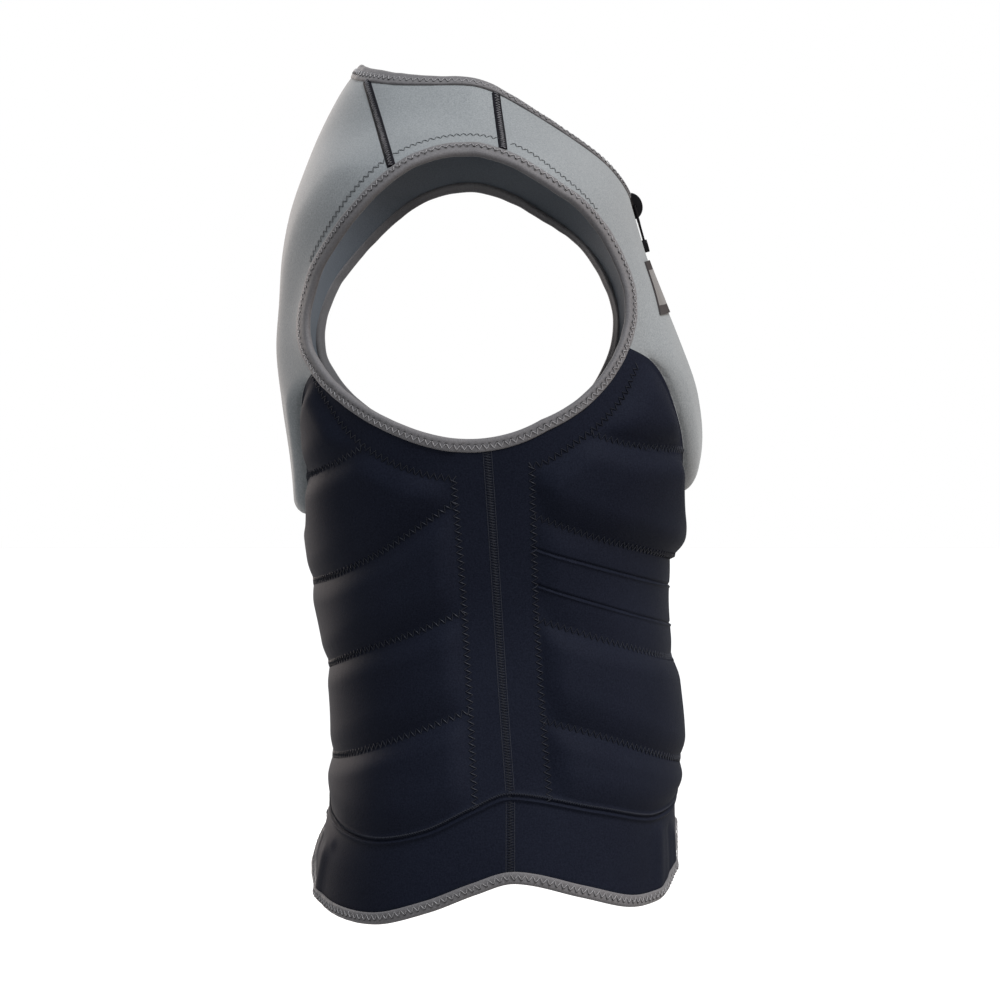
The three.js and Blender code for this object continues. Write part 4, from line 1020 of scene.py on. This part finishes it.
def add_teeth():
    """Two rows of teeth, each tooth a rounded block that reaches between two of the other row."""
    vertices, faces = [], []
    count = len(TOOTH_OUTLINE)
    heights = np.arange(zip_low + TOOTH["pitch"], TOOTH["top"], TOOTH["pitch"] / 2)
    for k, z in enumerate(heights):
        at = spots(0, z)
        middle, out = point_at(at), normal_at(at)
        up = np.cross(out, np.array([1.0, 0.0, 0.0]))
        side = 1 if k % 2 else -1
        flatwise = (middle + TOOTH_OUTLINE[:, :1] * np.array([side, 0, 0])
                    + TOOTH_OUTLINE[:, 1:] * up * TOOTH["height"] / 2)
        start = len(vertices) * 2 * count
        vertices.append(np.concatenate([flatwise + out * TOOTH["face"],
                                        flatwise + out * (TOOTH["face"] - TOOTH["depth"])]))
        front = list(range(start, start + count))
        rear = list(range(start + count, start + 2 * count))
        walls = [[front[i], front[i - 1], rear[i - 1], rear[i]] for i in range(count)]
        solid = [front, rear[::-1], *walls]
        faces += solid if side * up[2] > 0 else [face[::-1] for face in solid]
    piece = add_piece("zip_teeth", np.concatenate(vertices), faces, [ZIP_PLASTIC], sharp=50)
    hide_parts("zip_chain")


add_zip_tape("zip_tape_right", False)
add_zip_tape("zip_tape_left", True)
add_teeth()
MOULDED = {"voxel": 0.25, "slider": 30, "pull": 5}  # fine cells, and how often their corners are smoothed


def add_moulded(node, body, rounds):
    """Moulded piece: the solid's own form with its edges melted round."""
    name = f"{node}_moulded"
    solid = bpy.data.objects.new(name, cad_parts[node].data.copy())
    scene.collection.objects.link(solid)
    cells = solid.modifiers.new("cells", "REMESH")
    cells.mode = "VOXEL"
    cells.voxel_size = MOULDED["voxel"] * MM
    melt = solid.modifiers.new("melt", "SMOOTH")
    melt.iterations = rounds
    bpy.context.view_layer.update()
    mesh = bpy.data.meshes.new_from_object(solid.evaluated_get(bpy.context.evaluated_depsgraph_get()))
    solid.modifiers.clear()
    solid.data = mesh
    mesh.materials.clear()
    mesh.materials.append(ZIP_GLOSS)
    mesh.shade_smooth()
    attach(solid, body)
    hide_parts(node)


add_moulded("zip_slider", "vest", MOULDED["slider"])
add_moulded("zip_pull", "zip_pull", MOULDED["pull"])

# Studio, in metres
CAMERA = {"distance": 2.5, "y": -0.007, "z": -0.2695, "width": 0.7}
SENSOR = 36.0
FLOOR = {"z": -0.72, "reach": 30.0, "grain": 50}
# Name, place, size, power and tint of each lamp
LIGHTS = [
    ("front", (-1.0, -2.5, 0.5), 1.4, 30, (1.0, 0.7, 0.45)),
    ("back", (2.3, 1.7, 0.4), 1.4, 75, (1.0, 0.88, 0.82)),
]
SKY = {"strength": 1.0, "sun": 6.5, "softness": 35, "from": (-0.6, -0.45, 1.0), "tint": (0.96, 0.98, 1.0)}


def place_light(name, lamp, place, target):
    light = bpy.data.objects.new(name, lamp)
    light.location = place
    light.rotation_euler = (Vector(target) - light.location).to_track_quat("-Z", "Y").to_euler()
    scene.collection.objects.link(light)


for name, place, size, power, tint in LIGHTS:
    lamp = bpy.data.lights.new(name, "AREA")
    lamp.shape = "SQUARE"
    lamp.size = size
    lamp.energy = power
    lamp.color = tint
    place_light(name, lamp, place, (0, 0, CAMERA["z"]))
sun = bpy.data.lights.new("overhead", "SUN")
sun.energy = SKY["sun"]
sun.angle = math.radians(SKY["softness"])
sun.color = SKY["tint"]
place_light("overhead", sun, SKY["from"], (0, 0, 0))
world = bpy.data.worlds.new("studio")
world.use_nodes = True
sky = world.node_tree.nodes["Background"].inputs
sky["Color"].default_value = (1, 1, 1, 1)
sky["Strength"].default_value = SKY["strength"]
scene.world = world
scene.view_settings.view_transform = "Standard"

floor_mesh = bpy.data.meshes.new("floor")
turns = ((-1, -1), (1, -1), (1, 1), (-1, 1))
corners = [(x * FLOOR["reach"], y * FLOOR["reach"], FLOOR["z"]) for x, y in turns]
floor_mesh.from_pydata(corners, [], [(0, 1, 2, 3)])
floor = bpy.data.objects.new("floor", floor_mesh)
floor_mesh.materials.append(two_tone("pale_floor", (0.4, 0.4, 0.4), (0.42, 0.42, 0.42), 0.9,
                                     grain=FLOOR["grain"], bump=0.0))
scene.collection.objects.link(floor)

lens = bpy.data.cameras.new("camera")
lens.sensor_width = SENSOR
lens.lens = SENSOR * CAMERA["distance"] / CAMERA["width"]
camera = bpy.data.objects.new("camera", lens)
camera.location = (-CAMERA["distance"], CAMERA["y"], CAMERA["z"])
camera.rotation_euler = (math.pi / 2, 0, -math.pi / 2)
scene.collection.objects.link(camera)
scene.camera = camera
